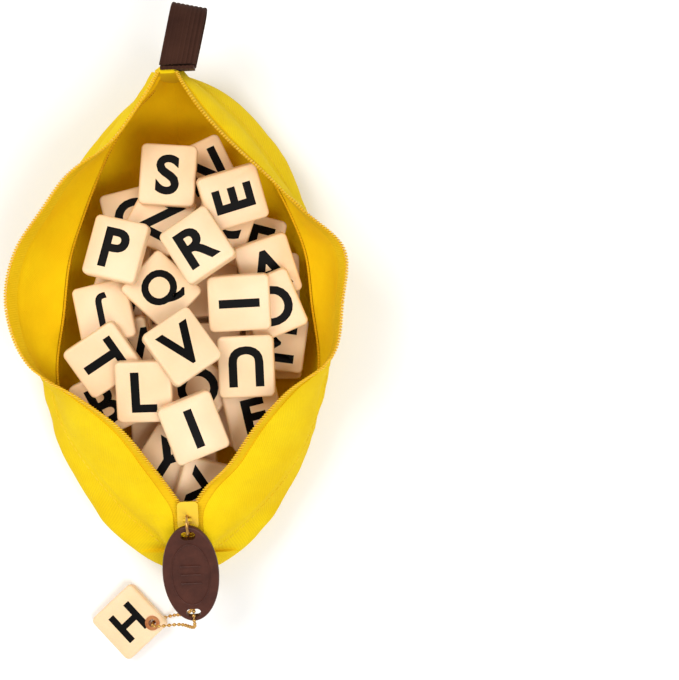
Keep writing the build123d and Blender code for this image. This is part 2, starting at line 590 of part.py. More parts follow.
def hang_loop():
    """Webbing folded into a loop: two runs that bow apart, closed at the far end."""
    half = WEB_GAP / 2
    outer = half + WEB_THICK
    gap = WEB_END_GAP / 2
    end = WEB_LENGTH - half - WEB_THICK
    back = -WEB_WIDTH / 3
    points_in = [(back, gap), (WEB_LENGTH * WEB_BOW_AT, half * WEB_BOW_SHARE), (end, half)]
    points_out = [(x, y + WEB_THICK) for x, y in points_in]
    up_in = Edge.make_spline([Vector(*p, 0) for p in points_in])
    up_out = Edge.make_spline([Vector(*p, 0) for p in points_out])
    low_in = Edge.make_spline([Vector(x, -y, 0) for x, y in points_in])
    low_out = Edge.make_spline([Vector(x, -y, 0) for x, y in points_out])
    cap_in = Edge.make_three_point_arc(Vector(end, half, 0), Vector(end + half, 0, 0), Vector(end, -half, 0))
    cap_out = Edge.make_three_point_arc(Vector(end, outer, 0), Vector(end + outer, 0, 0),
                                        Vector(end, -outer, 0))
    close_up = Edge.make_line(Vector(back, gap, 0), Vector(back, gap + WEB_THICK, 0))
    close_low = Edge.make_line(Vector(back, -gap, 0), Vector(back, -gap - WEB_THICK, 0))
    face = Face(Wire([up_in, cap_in, low_in, close_low, low_out, cap_out, up_out, close_up]))
    loop = loop_plane().location * extrude(face, amount=WEB_WIDTH / 2, both=True)
    seated = HEAD_END_Y + PATCH_THICK + MOVE_GAP
    loop -= box_between((-WEB_LENGTH, seated - WEB_LENGTH, 0), (WEB_LENGTH, seated, 2 * WEB_BASE_Z))
    return loop.solid()


def loop_anchor():
    """Sewn end of the webbing, flat against the head of the pouch."""
    low = (WEB_BASE_X - WEB_WIDTH / 2, HEAD_END_Y, WEB_BASE_Z - ANCHOR_HALF_HEIGHT)
    high = (WEB_BASE_X + WEB_WIDTH / 2, HEAD_END_Y + PATCH_THICK, WEB_BASE_Z + ANCHOR_HALF_HEIGHT)
    return box_between(low, high)


# ---------------------------------------------------------------- letter tiles
def side_lines():
    """Seam and zipper lines of both sides as arrays over Y, for fitting tiles inside."""
    lines = {}
    for side in SIDES:
        rows = [row for zone in smooth_stations(side).values() for row in zone]
        seams, rims = np.array([r[0] for r in rows]), np.array([r[1] for r in rows])
        lines[side] = (seams, rims)
    return lines


LINES = side_lines()


def along_line(line, y, column):
    return float(np.interp(y, line[:, 1], line[:, column]))


def bowl_limits(x, y):
    """Least and greatest height free inside the pouch at a place, or None outside it."""
    side = "left" if x < 0 else "right"
    seams, rims = LINES[side]
    seam_out, seam_height = along_line(seams, y, 0), along_line(seams, y, 2)
    out = abs(x)
    if not TILES_FROM_Y < y < TILES_TO_Y or out > seam_out - WALL_CLEARANCE:
        return None
    foot_out, foot = base_half_width(y) + SEAM_GAP, underside(y) + FABRIC
    wide = max(body_half_width(y, side), seam_out + 1.0) - FABRIC
    share = min(max(out - foot_out, 0.0) / (wide - foot_out), 1.0)
    middle = foot + (seam_height - foot) * BULGE_SHARE
    floor = foot + (middle - foot) * (1 - math.sqrt(1 - share**2)) + FLOOR_CLEARANCE
    rim_out, rim_height = along_line(rims, y, 0), along_line(rims, y, 2)
    if rim_out < seam_out and out > rim_out - ROOF_REACH:
        way = min((seam_out - out) / (seam_out - rim_out), 1.0)
        return floor, seam_height + way * (rim_height - seam_height) - ROOF_CLEARANCE
    return floor, math.inf


def turn(yaw, pitch, roll):
    """Rotation matrix: yaw about Z after small leans about X and Y."""
    cy, sy = math.cos(yaw), math.sin(yaw)
    cp, sp = math.cos(pitch), math.sin(pitch)
    cr, sr = math.cos(roll), math.sin(roll)
    about_z = np.array([[cy, -sy, 0], [sy, cy, 0], [0, 0, 1]])
    about_x = np.array([[1, 0, 0], [0, cp, -sp], [0, sp, cp]])
    about_y = np.array([[cr, 0, sr], [0, 1, 0], [-sr, 0, cr]])
    return about_x @ about_y @ about_z


HALF = np.array([TILE_WIDTH, TILE_LENGTH, TILE_THICK]) / 2 + TILE_GAP / 2
CORNERS = np.array([[x, y, z] for x in (-1, 1) for y in (-1, 1) for z in (-1, 1)]) * HALF


def height_over(centre, axes, settled):
    """Least centre height at which a tile is clear above every settled tile, by separating axes.

    Tiles that some line keeps apart over the whole height of the pile don't hold each other up.
    """
    if not settled:
        return -math.inf
    others = np.array([other[0] for other in settled])
    turns = np.array([other[1] for other in settled])
    near = np.linalg.norm(others[:, :2] - centre[:2], axis=1) < 2 * np.linalg.norm(HALF)
    others, turns = others[near], turns[near]
    if not len(others):
        return -math.inf
    own = np.broadcast_to(axes.T, turns.shape)
    theirs = np.swapaxes(turns, 1, 2)
    crossed = np.cross(own[:, :, None, :], theirs[:, None, :, :]).reshape(len(others), 9, 3)
    lines = np.concatenate([own, theirs, crossed], axis=1)
    lengths = np.linalg.norm(lines, axis=2, keepdims=True)
    lines = np.where(lengths > 1e-6, lines / np.maximum(lengths, 1e-6), 0.0)
    lines = lines * np.where(lines[:, :, 2:3] < 0, -1, 1)
    reach = np.abs(np.einsum("nai,nij->naj", lines, turns)) @ HALF
    reach = reach + np.abs(lines @ axes) @ HALF
    gap = centre[:2] - others[:, :2]
    level = np.einsum("nai,ni->na", lines[:, :, :2], gap)
    rise = lines[:, :, 2]
    apart = (np.abs(level) >= reach + rise * PILE_SPAN) & (lengths[:, :, 0] > 1e-6)
    safe = np.where(rise > 1e-6, rise, 1.0)
    needed = np.where(rise > 1e-6, (reach - level) / safe + others[:, 2:3], math.inf)
    lowest = np.where(apart.any(axis=1), -math.inf, needed.min(axis=1))
    return float(lowest.max())


def rest_height(x, y, axes, settled):
    """Centre height of a tile lowered at a place with a given turn, or None where it can't go."""
    corners = CORNERS @ axes.T
    lowest = height_over(np.array([x, y, 0.0]), axes, settled)
    ceiling = math.inf
    for corner in corners:
        limits = bowl_limits(x + corner[0], y + corner[1])
        if limits is None:
            return None
        lowest = max(lowest, limits[0] - corner[2])
        ceiling = min(ceiling, limits[1] - corner[2])
    return lowest if lowest <= ceiling else None


def settle(x, y, yaw, settled, most_lean):
    """Lean a tile until its middle lies as low as it can, as a dropped tile does."""
    pitch, roll, step = 0.0, 0.0, math.radians(most_lean / 2)
    best = rest_height(x, y, turn(yaw, pitch, roll), settled)
    while step > math.radians(0.4):
        moved = False
        for dp, dr in ((step, 0), (-step, 0), (0, step), (0, -step)):
            lean = (pitch + dp, roll + dr)
            if max(abs(lean[0]), abs(lean[1])) > math.radians(most_lean):
                continue
            height = rest_height(x, y, turn(yaw, *lean), settled)
            if height is not None and (best is None or height < best - 1e-3):
                best, pitch, roll, moved = height, lean[0], lean[1], True
        if not moved:
            step /= 2
    if best is None:
        return None
    return np.array([x, y, best]), turn(yaw, pitch, roll)


def pile_tiles():
    """Settle the hidden layers, then the tiles that show on top. Returns (name, place, turn)."""
    draw = random.Random(TILE_SEED)
    settled, named = [], []
    for layer in range(HIDDEN_LAYERS):
        shift = (layer % 2) / 2
        for row in range(-4, 5):
            for column in range(-3, 4):
                x = (column + shift) * HIDDEN_PITCH_X + draw.uniform(-0.7, 0.7)
                y = (row + shift) * HIDDEN_PITCH_Y + draw.uniform(-0.7, 0.7)
                tile = settle(x, y, math.radians(draw.uniform(-3, 3)), settled, HIDDEN_LEAN)
                if tile is not None and tile[0][2] < HIDDEN_TOP:
                    settled.append(tile)
                    named.append((f"tile_pile_{layer + 1}", *tile))
    for letter, x, y, yaw in TOP_TILES:
        for tries in range(INWARD_TRIES):
            scale = 1 - INWARD_STEP * tries
            tile = settle(x * scale, y * scale, math.radians(yaw), settled, TILE_LEAN)
            if tile is not None:
                settled.append(tile)
                loose = (letter, x) in LOOSE_TILES
                name = f"tile_{letter.lower()}" if loose else "tile_pile_top"
                named.append((name, *tile))
                break
    return named


def tile_solid():
    tile = Box(TILE_WIDTH, TILE_LENGTH, TILE_THICK)
    tile = fillet(tile.edges().filter_by(Axis.Z), TILE_CORNER)
    return fillet(tile.faces().filter_by(Axis.Z).edges(), TILE_EDGE).solid()


def placed(solid, centre, axes):
    plane = Plane(origin=tuple(centre), x_dir=tuple(axes[:, 0]), z_dir=tuple(axes[:, 2]))
    return plane.location * solid


# ---------------------------------------------------------------- build every piece
save("base_panel", base_panel())
save("head_end_patch", head_end_patch())
save("zip_end_tab", zip_end_tab())
for side_name in SIDES:
    save(f"{side_name}_lower_panel", lower_panel(side_name))
    save(f"{side_name}_seam_binding", seam_binding(side_name))
    for zone_name in SLICE_COUNTS:
        save(f"{side_name}_{zone_name}_panel", upper_strip(side_name, zone_name, "fabric"))
        save(f"{side_name}_{zone_name}_tape", upper_strip(side_name, zone_name, "tape"))
        save(f"{side_name}_{zone_name}_coil", upper_strip(side_name, zone_name, "coil"))
save("bottom_stop", bottom_stop())
save("slider_body", slider_body())
save("pull_link", pull_link())
save("pull_tag", pull_tag())
for chain_name, beads in bead_chain().items():
    save(chain_name, *beads)
save("fob_tile", fob_tile())
save("fob_eyelet", fob_eyelet())
save("hang_loop", hang_loop())
save("loop_anchor", loop_anchor())
groups = {}
blank = tile_solid()
for tile_name, centre, axes in pile_tiles():
    groups.setdefault(tile_name, []).append(placed(blank, centre, axes))
for tile_name, tiles in groups.items():
    save(tile_name, *tiles)
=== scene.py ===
import math

import bmesh
import bpy
import numpy as np
from mathutils import Matrix, Vector, noise


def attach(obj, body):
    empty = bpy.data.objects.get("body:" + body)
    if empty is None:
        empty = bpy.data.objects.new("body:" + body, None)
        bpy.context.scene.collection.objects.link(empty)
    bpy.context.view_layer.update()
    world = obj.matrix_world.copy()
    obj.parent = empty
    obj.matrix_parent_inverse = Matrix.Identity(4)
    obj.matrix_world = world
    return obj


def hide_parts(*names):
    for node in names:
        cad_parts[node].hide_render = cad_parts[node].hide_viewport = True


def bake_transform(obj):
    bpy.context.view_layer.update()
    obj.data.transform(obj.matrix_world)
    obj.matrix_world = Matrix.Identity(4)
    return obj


# Looks of a soft zipped pouch full of letter tiles. Lengths are in millimetres until a mesh is made.
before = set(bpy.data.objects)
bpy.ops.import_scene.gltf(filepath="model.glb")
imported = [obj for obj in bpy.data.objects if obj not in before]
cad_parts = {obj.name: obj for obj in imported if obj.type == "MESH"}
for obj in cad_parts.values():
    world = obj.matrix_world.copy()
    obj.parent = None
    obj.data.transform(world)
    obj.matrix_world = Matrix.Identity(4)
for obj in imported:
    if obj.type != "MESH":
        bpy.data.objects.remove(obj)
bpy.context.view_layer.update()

MM = 0.001

# -------------------- sizes shared with the solids
FABRIC = 1.6
SEAM_GAP = 0.15
SEAM_OVERLAP = 0.3
HEAD_REACH, TAIL_REACH = 111.5, 115.5
HALF_WIDTH = {"left": 67.5, "right": 64.0}
BASE_LENGTH, BASE_HALF_WIDTH = 168.0, 43.0
BULGE_SHARE = 0.48
UNDERSIDE, END_LIFT = 0.3, 17.0
TAPE_WIDTH, TAPE_THICK = 5.0, 1.2
COIL_WIDTH, COIL_THICK = 2.0, 2.0
PANEL_BOW = 2.2
BINDING_WIDTH, BINDING_THICK, BINDING_GAP = 4.0, 0.9, 0.3
PATCH_THICK = 1.4
HEAD_END_Y, HEAD_END_HALF_WIDTH = 111.6, 6.5
HEAD_END_DROP, HEAD_END_WIDEST, HEAD_END_SHOULDER, HEAD_END_TOP, HEAD_END_TUCK = 2.0, 38.0, 46.0, 60.0, 1.6
TAIL_TAB_Y = -103.3
ZIP_TAIL_HEIGHT, ZIP_LEVEL_FROM, ZIP_LEVEL_SPAN, ZIP_HALF_GAP = 46.0, -60.0, 22.0, 0.6
TAB_WIDTHS = [(37.5, 2.5), (40.0, 8.5), (ZIP_TAIL_HEIGHT + TAPE_THICK, 7.0)]   # height, half width
TAG_LENGTH, TAG_THICK, TAG_SLOPE = 50.0, 2.6, 27.0
TAG_HOLE_Y, TAG_HOLE_Z, TAG_HOLE_INSET = -96.0, 54.0, 4.6
BEAD_RADIUS, BEAD_PITCH = 1.0, 2.6
CHAIN_TAG_REACH, CHAIN_FOB_REACH = 9.0, 6.5
CHAIN_PAST_TAG, CHAIN_OVER_FOB, CHAIN_UNDER_FOB = 2.4, 2.6, 1.3
FOB_SIZE, FOB_THICK, FOB_YAW, FOB_TILT, FOB_CENTRE = 26.0, 6.0, 41.0, 6.0, (-31.5, -139.0)
FOB_HOLE_RADIUS, FOB_EYELET_INSET, FOB_CORNER_IN, FOB_LIFT = 2.5, 5.2, 1.0, 0.05
WEB_WIDTH, WEB_THICK, WEB_LENGTH, WEB_GAP, WEB_END_GAP = 16.0, 1.3, 29.0, 9.0, 3.0
WEB_LEAN, WEB_DROOP, WEB_BASE_X, WEB_BASE_Z = -13.0, -12.0, 4.5, 56.0
WEB_BOW_AT, WEB_BOW_SHARE, WEB_SEWN_LENGTH, WEB_ANCHOR_HALF = 0.3, 0.8, 12.0, 5.5
MOVE_GAP = 0.3
TILE_WIDTH, TILE_LENGTH, TILE_THICK = 25.5, 28.0, 6.0
TILE_CORNER = 2.5
TILE_EDGE = [(0.0, 1.1), (0.22, 0.45), (0.7, 0.1), (1.3, 0.0)]   # depth from a face, and inset there
CORNER_STEPS = 7
LETTER_HEIGHT, FOB_LETTER_HEIGHT, LETTER_DEPTH = 18.4, 15.0, 0.7
STITCH_SIZE, STITCH_PITCH = (1.25, 0.32, 0.28), 3.3
COIL_PITCH, COIL_STEPS, COIL_WIRE, COIL_HALF_WIDTH, COIL_HALF_HEIGHT = 1.35, 8, 0.31, 0.75, 0.68

# Lines across an upper side panel, tail to head: x, y, z at the seam, then x, y, z at the zipper.
MID_FLAP = 8
LEFT_LINES = [
    (9.0, -101.0, 39.5, ZIP_HALF_GAP, -103.0, ZIP_TAIL_HEIGHT),
    (18.0, -93.0, 38.0, ZIP_HALF_GAP, -95.0, ZIP_TAIL_HEIGHT),
    (26.0, -85.5, 37.0, ZIP_HALF_GAP + 0.5, -86.0, ZIP_TAIL_HEIGHT),
    (35.0, -75.0, 35.5, 6.0, -77.0, 46.8),
    (45.0, -62.0, 34.0, 15.0, -63.0, 53.0),
    (53.5, -48.0, 33.0, 27.0, -47.0, 58.0),
    (58.5, -34.0, 33.0, 45.0, -32.5, 59.0),
    (60.0, -20.0, 33.0, 65.5, -19.1, 58.0),
    (56.0, 5.0, 33.0, 77.0, 8.4, 55.0),
    (52.0, 30.0, 33.0, 72.0, 33.2, 56.0),
    (45.0, 49.0, 35.0, 58.0, 52.0, 60.0),
    (38.0, 65.0, 37.5, 45.5, 66.5, 63.5),
    (30.0, 80.0, 40.5, 25.0, 80.0, 66.0),
    (19.0, 95.0, 43.5, 12.5, 95.0, 67.0),
    (8.0, 106.0, 45.5, 5.5, 105.5, 66.0),
    (5.0, 111.0, 46.5, 3.2, 110.5, 62.0),
]
RIGHT_LINES = [
    (9.0, -103.0, 39.5, ZIP_HALF_GAP, -103.0, ZIP_TAIL_HEIGHT),
    (19.0, -96.0, 38.0, ZIP_HALF_GAP, -95.0, ZIP_TAIL_HEIGHT),
    (28.0, -88.5, 37.0, ZIP_HALF_GAP + 0.5, -86.0, ZIP_TAIL_HEIGHT),
    (38.0, -78.5, 35.5, 6.5, -77.0, 46.8),
    (47.5, -66.0, 34.0, 18.5, -65.5, 53.0),
    (56.0, -52.0, 33.0, 31.0, -49.0, 58.0),
    (61.5, -36.0, 33.0, 46.0, -34.0, 59.5),
    (64.0, -20.0, 33.0, 66.5, -19.8, 60.0),
    (62.0, 4.0, 33.0, 73.0, 4.9, 60.5),
    (60.0, 28.0, 33.0, 74.5, 29.2, 60.0),
    (54.0, 46.0, 34.5, 57.0, 46.5, 61.5),
    (46.5, 62.0, 37.0, 41.5, 62.5, 64.0),
    (37.5, 78.0, 40.0, 25.5, 78.0, 66.5),
    (25.5, 93.0, 43.0, 13.0, 93.0, 68.0),
    (12.0, 105.5, 45.5, 5.5, 105.5, 67.0),
    (5.0, 111.0, 46.5, 3.2, 110.5, 62.0),
]
SIDES = {"left": (-1, LEFT_LINES), "right": (1, RIGHT_LINES)}
HEAD_TAPER = {"left": 0.74, "right": 0.52}
TAIL_TAPER = 0.55
TAIL_RIDGE = [(-106.0, 36.0), (-111.5, 30.5), (-114.6, 26.5)]

TOP_TILES = [
    ("G", -24, 55, 12), ("N", 14, 72, 24), ("K", -30, 8, 160), ("W", -27, -12, 8),
    ("H", 36, 38, 75), ("C", 22, 46, -20), ("O", 6, -31, 50), ("A", 40, 22, 15),
    ("Z", -8, 47, -30), ("D", -40, 33, 40), ("M", 50, -14, 80), ("B", -36, -36, 25),
    ("F", 31, -45, 10), ("O", 47, 6, 20), ("J", -44, 6, 190), ("I", 27, 7, 90),
    ("Y", -10, -64, -35), ("T", -44, -20, -58), ("S", -3, 66, -6), ("E", 27, 57, 103),
    ("U", 29, -22, 180), ("X", 8, -77, 70), ("L", -18, -33, 0), ("I", 5, -56, 18),
    ("Q", -8, 14, 45), ("P", -27, 33, -17), ("V", 1, -12, 34), ("R", 10, 33, 30),
]


# -------------------- materials
def linear(code):
    """Linear colour of a six-digit sRGB code."""
    parts = [int(code[i:i + 2], 16) / 255 for i in (0, 2, 4)]
    return [c / 12.92 if c <= 0.04045 else ((c + 0.055) / 1.055) ** 2.4 for c in parts] + [1.0]


class Nodes:
    """A material's node tree with short helpers."""

    def __init__(self, name):
        self.material = bpy.data.materials.new(name)
        self.material.use_nodes = True
        self.tree = self.material.node_tree
        self.shader = self.tree.nodes["Principled BSDF"]
        self.coords = self.add("ShaderNodeTexCoord")

    def add(self, kind, **settings):
        node = self.tree.nodes.new(kind)
        for key, value in settings.items():
            setattr(node, key, value)
        return node

    def link(self, source, target):
        self.tree.links.new(source, target)

    def math(self, operation, a, b=None):
        node = self.add("ShaderNodeMath", operation=operation)
        for socket, value in zip(node.inputs, (a, b)):
            if value is None:
                continue
            if isinstance(value, (int, float)):
                socket.default_value = value
            else:
                self.link(value, socket)
        return node.outputs[0]

    def noise(self, scale, detail=3.0, rough=0.5):
        node = self.add("ShaderNodeTexNoise")
        node.inputs["Scale"].default_value = scale
        node.inputs["Detail"].default_value = detail
        node.inputs["Roughness"].default_value = rough
        self.link(self.coords.outputs["Object"], node.inputs["Vector"])
        return node.outputs["Fac"]

    def ramp(self, value, low, high, dark, light):
        node = self.add("ShaderNodeValToRGB")
        node.color_ramp.elements[0].position = low
        node.color_ramp.elements[1].position = high
        node.color_ramp.elements[0].color = dark
        node.color_ramp.elements[1].color = light
        self.link(value, node.inputs["Fac"])
        return node.outputs["Color"]

    def multiply(self, colour, factor, amount):
        node = self.add("ShaderNodeMix", data_type="RGBA", blend_type="MULTIPLY")
        node.inputs[0].default_value = amount
        self.link(colour, node.inputs[6])
        self.link(factor, node.inputs[7])
        return node.outputs[2]

    def bump(self, height, strength, distance, under=None):
        node = self.add("ShaderNodeBump")
        node.inputs["Strength"].default_value = strength
        node.inputs["Distance"].default_value = distance
        self.link(height, node.inputs["Height"])
        if under is not None:
            self.link(under, node.inputs["Normal"])
        return node.outputs["Normal"]

    def finish(self, colour, normal, roughness, **sockets):
        self.link(colour, self.shader.inputs["Base Color"])
        if normal is not None:
            self.link(normal, self.shader.inputs["Normal"])
        self.shader.inputs["Roughness"].default_value = roughness
        for name, value in sockets.items():
            self.shader.inputs[name.replace("_", " ")].default_value = value
        return self.material


YELLOW_FUZZ, BROWN_FUZZ = (1.0, 0.72, 0.08, 1.0), (0.5, 0.34, 0.28, 1.0)


def woven(name, dark, light, pitch, strength=0.35, ribs=None, fuzz=YELLOW_FUZZ):
    """Woven cloth: threads on the piece's own millimetre coordinates, painted shade in the valleys between
    threads and ribs, soft colour drift, fuzz.
    """
    n = Nodes(name)
    split = n.add("ShaderNodeSeparateXYZ")
    n.link(n.coords.outputs["UV"], split.inputs[0])
    across = n.math("SINE", n.math("MULTIPLY", split.outputs["X"], 2 * math.pi / pitch))
    along = n.math("SINE", n.math("MULTIPLY", split.outputs["Y"], 2 * math.pi / pitch))
    if ribs is None:
        weave = n.math("MULTIPLY", across, along)
    else:
        weave = along if ribs == "lengthwise" else across
    height = n.math("ADD", n.math("MULTIPLY", weave, 0.5), 0.5)
    drift = n.noise(38.0, 4.0, 0.6)
    fine = n.noise(900.0, 2.0, 0.7)
    colour = n.ramp(drift, 0.3, 0.7, linear(dark), linear(light))
    # painted shade: the colour darkens in the valleys of the weave and between the ribs, where shade falls
    shade = n.ramp(height, 0.0, 1.0, (0.80, 0.76, 0.66, 1), (1, 1, 1, 1))
    colour = n.multiply(colour, shade, 0.7)
    shade_fine = n.ramp(fine, 0.2, 0.8, (0.90, 0.88, 0.84, 1), (1, 1, 1, 1))
    colour = n.multiply(colour, shade_fine, 0.5)
    soft = n.bump(n.noise(140.0, 3.0, 0.55), 0.25, 0.0008)
    normal = n.bump(height, strength, 0.0003, soft)
    return n.finish(colour, normal, 0.85, Sheen_Weight=0.15, Sheen_Roughness=0.5, Sheen_Tint=fuzz,
                    Specular_IOR_Level=0.1)


def smooth_plastic(name, dark, light, rough, grain=220.0, strength=0.08, **more):
    """Moulded plastic or enamel with faint waviness and colour drift."""
    n = Nodes(name)
    drift = n.noise(45.0, 3.0, 0.5)
    colour = n.ramp(drift, 0.25, 0.75, linear(dark), linear(light))
    normal = n.bump(n.noise(grain, 3.0, 0.6), strength, 0.0004)
    return n.finish(colour, normal, rough, **more)


def brass_metal(name, dark, light, rough):
    n = Nodes(name)
    worn = n.noise(260.0, 4.0, 0.6)
    colour = n.ramp(worn, 0.3, 0.75, linear(dark), linear(light))
    normal = n.bump(n.noise(900.0, 2.0, 0.5), 0.06, 0.0002)
    return n.finish(colour, normal, rough, Metallic=1.0)


def grained_leather(name, dark, light):
    n = Nodes(name)
    cells = n.add("ShaderNodeTexVoronoi", feature="DISTANCE_TO_EDGE")
    cells.inputs["Scale"].default_value = 900.0
    n.link(n.coords.outputs["Object"], cells.inputs["Vector"])
    grain = n.math("MINIMUM", n.math("MULTIPLY", cells.outputs["Distance"], 4.0), 1.0)
    wear = n.noise(120.0, 4.0, 0.6)
    colour = n.ramp(wear, 0.3, 0.75, linear(dark), linear(light))
    normal = n.bump(grain, 0.18, 0.0002)
    return n.finish(colour, normal, 0.45, Specular_IOR_Level=0.3)


CANVAS = woven("canvas", "F0C80A", "FADA14", 1.1, 0.45)
# the lining's own yellow, painted brighter to stand in for light reaching inside the pouch
LINING = woven("lining", "FAC806", "FFD60A", 0.9, 0.25)
TAPE = woven("zip_tape", "E9BB0C", "F3CB18", 0.8, 0.4, "crosswise")
OVERLOCK = woven("overlock", "DFA206", "EFBB10", 1.3, 0.9, "crosswise")
THREAD = woven("thread", "F2C818", "FADC40", 0.5, 0.3, "crosswise")
WEBBING = woven("webbing", "301A14", "44291F", 2.0, 0.9, "lengthwise", BROWN_FUZZ)
COIL = smooth_plastic("zip_coil", "E9B40E", "F6C81A", 0.4, Specular_IOR_Level=0.5)
ENAMEL = smooth_plastic("slider_enamel", "E8B80C", "F5CC1C", 0.25, Coat_Weight=0.5, Coat_Roughness=0.1)
IVORY = smooth_plastic("ivory_tile", "EDC99C", "F7D6AC", 0.4, 160.0, 0.05,
                       Subsurface_Weight=0.15, Subsurface_Scale=0.002, Specular_IOR_Level=0.5)
INK = smooth_plastic("letter_black", "060504", "0B0908", 0.5, 500.0, 0.05, Specular_IOR_Level=0.08)
BRASS = brass_metal("brass", "B98542", "E0B467", 0.28)
COPPER = brass_metal("copper", "B4683C", "DE9A66", 0.3)
TAG_SKIN = grained_leather("tag_leather", "3C180C", "53281A")


# -------------------- mesh helpers
def unit(v):
    return v / np.linalg.norm(v)


def mesh_object(name, points, faces, materials, picks=None, uvs=None):
    """Object from points in millimetres, with material picks by face and UVs by point."""
    mesh = bpy.data.meshes.new(name)
    mesh.from_pydata([tuple(p) for p in np.asarray(points, float) * MM], [], faces)
    for material in materials:
        mesh.materials.append(material)
    if picks is not None:
        mesh.polygons.foreach_set("material_index", picks)
    mesh.polygons.foreach_set("use_smooth", [True] * len(faces))
    if uvs is not None:
        layer = mesh.uv_layers.new(name="UVMap")
        corners = np.empty(len(mesh.loops), int)
        mesh.loops.foreach_get("vertex_index", corners)
        layer.data.foreach_set("uv", np.asarray(uvs, float)[corners].ravel())
    work = bmesh.new()
    work.from_mesh(mesh)
    bmesh.ops.recalc_face_normals(work, faces=work.faces)
    work.to_mesh(mesh)
    work.free()
    mesh.set_sharp_from_angle(angle=math.radians(50))
    obj = bpy.data.objects.new(name, mesh)
    bpy.context.collection.objects.link(obj)
    return obj


def distances(points):
    """Distance along a line of points to each of them."""
    return np.concatenate([[0], np.cumsum(np.linalg.norm(np.diff(points, axis=0), axis=1))])


def between(at, place, points):
    """Points at the distances at, on a line whose points lie at the distances place."""
    return np.stack([np.interp(at, place, points[:, k]) for k in range(3)], axis=1)


def grids(rows, columns):
    """Two empty grids of points, for the two faces of a shell."""
    return np.zeros((2, rows, columns, 3))


def shell(name, outer, inner, materials, inner_pick=0):
    """Closed shell between an outer and an inner grid of points, both (rows, columns, 3).

    Its rim is shaded flat, so that two shells that meet end to end look like one.
    """
    rows, columns = outer.shape[:2]
    points = np.concatenate([outer.reshape(-1, 3), inner.reshape(-1, 3)])
    far = rows * columns
    faces, picks = [], []
    for i in range(rows - 1):
        for j in range(columns - 1):
            a, d = i * columns + j, (i + 1) * columns + j
            faces += [(a, a + 1, d + 1, d), (far + a, far + d, far + d + 1, far + a + 1)]
            picks += [0, inner_pick]
    rims = [(i * columns + j, columns) for i in range(rows - 1) for j in (0, columns - 1)]
    rims += [(i * columns + j, 1) for j in range(columns - 1) for i in (0, rows - 1)]
    faces += [(a, a + step, far + a + step, far + a) for a, step in rims]
    picks += [0] * len(rims)
    u, v = np.meshgrid(distances(outer[:, columns // 2]), distances(outer[rows // 2]), indexing="ij")
    uvs = np.stack([u.ravel(), v.ravel()], axis=1)
    obj = mesh_object(name, points, faces, materials, picks, np.concatenate([uvs, uvs]))
    for face in obj.data.polygons:
        outside = [k < far for k in face.vertices]
        face.use_smooth = all(outside) or not any(outside)
    return obj


def tube(name, path, radius, material, sides=8, closed=False):
    """Round tube along a path of points."""
    path = np.asarray(path, float)
    count = len(path)
    if closed:
        ways = np.roll(path, -1, axis=0) - np.roll(path, 1, axis=0)
    else:
        ways = np.gradient(path, axis=0)
    ways /= np.linalg.norm(ways, axis=1)[:, None]
    aside = np.cross(ways[0], (0.3, 0.2, 0.93))
    rings = []
    for p, way in zip(path, ways):
        aside = unit(aside - way * np.dot(aside, way))
        over = np.cross(way, aside)
        turns = np.arange(sides) * 2 * math.pi / sides
        rings.append(p + radius * (np.cos(turns)[:, None] * aside + np.sin(turns)[:, None] * over))
    points = np.concatenate(rings)
    faces = []
    for i in range(count if closed else count - 1):
        for j in range(sides):
            a, b = i * sides + j, i * sides + (j + 1) % sides
            after = ((i + 1) % count) * sides
            faces.append((a, b, after + (j + 1) % sides, after + j))
    if not closed:
        faces += [tuple(range(sides)), tuple((count - 1) * sides + j for j in range(sides))]
    place = np.repeat(np.arange(count), sides) * 0.3
    uvs = np.stack([place, np.tile(np.arange(sides), count) * 0.2], axis=1)
    return mesh_object(name, points, faces, [material], None, uvs)


def seeds(name, places, ways, ups, size, material):
    """Many small ellipsoids, such as stitches: centres, directions, up directions, half sizes."""
    rings, turns = 5, 8
    base = [(-1.0, 0.0, 0.0)]
    for i in range(1, rings):
        a = math.pi * i / rings
        for j in range(turns):
            b = 2 * math.pi * j / turns
            base.append((-math.cos(a), math.sin(a) * math.cos(b), math.sin(a) * math.sin(b)))
    base.append((1.0, 0.0, 0.0))
    base = np.array(base) * np.array(size)
    last = len(base) - 1
    quads = [(0, 1 + (j + 1) % turns, 1 + j) for j in range(turns)]
    for i in range(rings - 2):
        for j in range(turns):
            a, b = 1 + i * turns + j, 1 + i * turns + (j + 1) % turns
            quads.append((a, b, b + turns, a + turns))
    top = 1 + (rings - 2) * turns
    quads += [(last, top + j, top + (j + 1) % turns) for j in range(turns)]
    points, faces = [], []
    for p, way, up in zip(places, ways, ups):
        way = unit(way)
        up = unit(up - way * np.dot(up, way))
        turn = np.stack([way, np.cross(up, way), up], axis=1)
        offset = len(points) * len(base)
        points.append(p + base @ turn.T)
        faces += [tuple(k + offset for k in quad) for quad in quads]
    points = np.concatenate(points)
    return mesh_object(name, points, faces, [material], None, points[:, :2])


def even(points, pitch, start=0.0):
    """Places, and directions, every pitch along a line of points."""
    place = distances(points)
    at = np.arange(start, place[-1], pitch)
    ways = between(at + 0.5, place, points) - between(at - 0.5, place, points)
    return between(at, place, points), ways, at / place[-1]


def stitch_line(name, marks, start):
    """Row of stitches along marks, which are places with their outward direction."""
    line = np.array([p for p, _ in marks])
    rise = np.array([n for _, n in marks])
    places, ways, share = even(line, STITCH_PITCH, start)
    ups = rise[(share * (len(rise) - 1)).astype(int)]
    return seeds(name, places, ways, ups, STITCH_SIZE, THREAD)


def folds(u, v, seed):
    """Height of the soft folds in a sewn panel, along u and across v in millimetres."""
    broad = noise.noise(Vector((u / 38 + seed, v / 55, seed)))
    fold = noise.noise(Vector((u / 15 + v / 40, v / 34 + seed, 3.1 + seed)))
    fine = noise.noise(Vector((u / 6, v / 11 + seed, 7.7)))
    return 1.6 * broad + 1.3 * fold + 0.35 * fine


# -------------------- outline of the body
def body_reach(y):
    return HEAD_REACH if y > 0 else TAIL_REACH


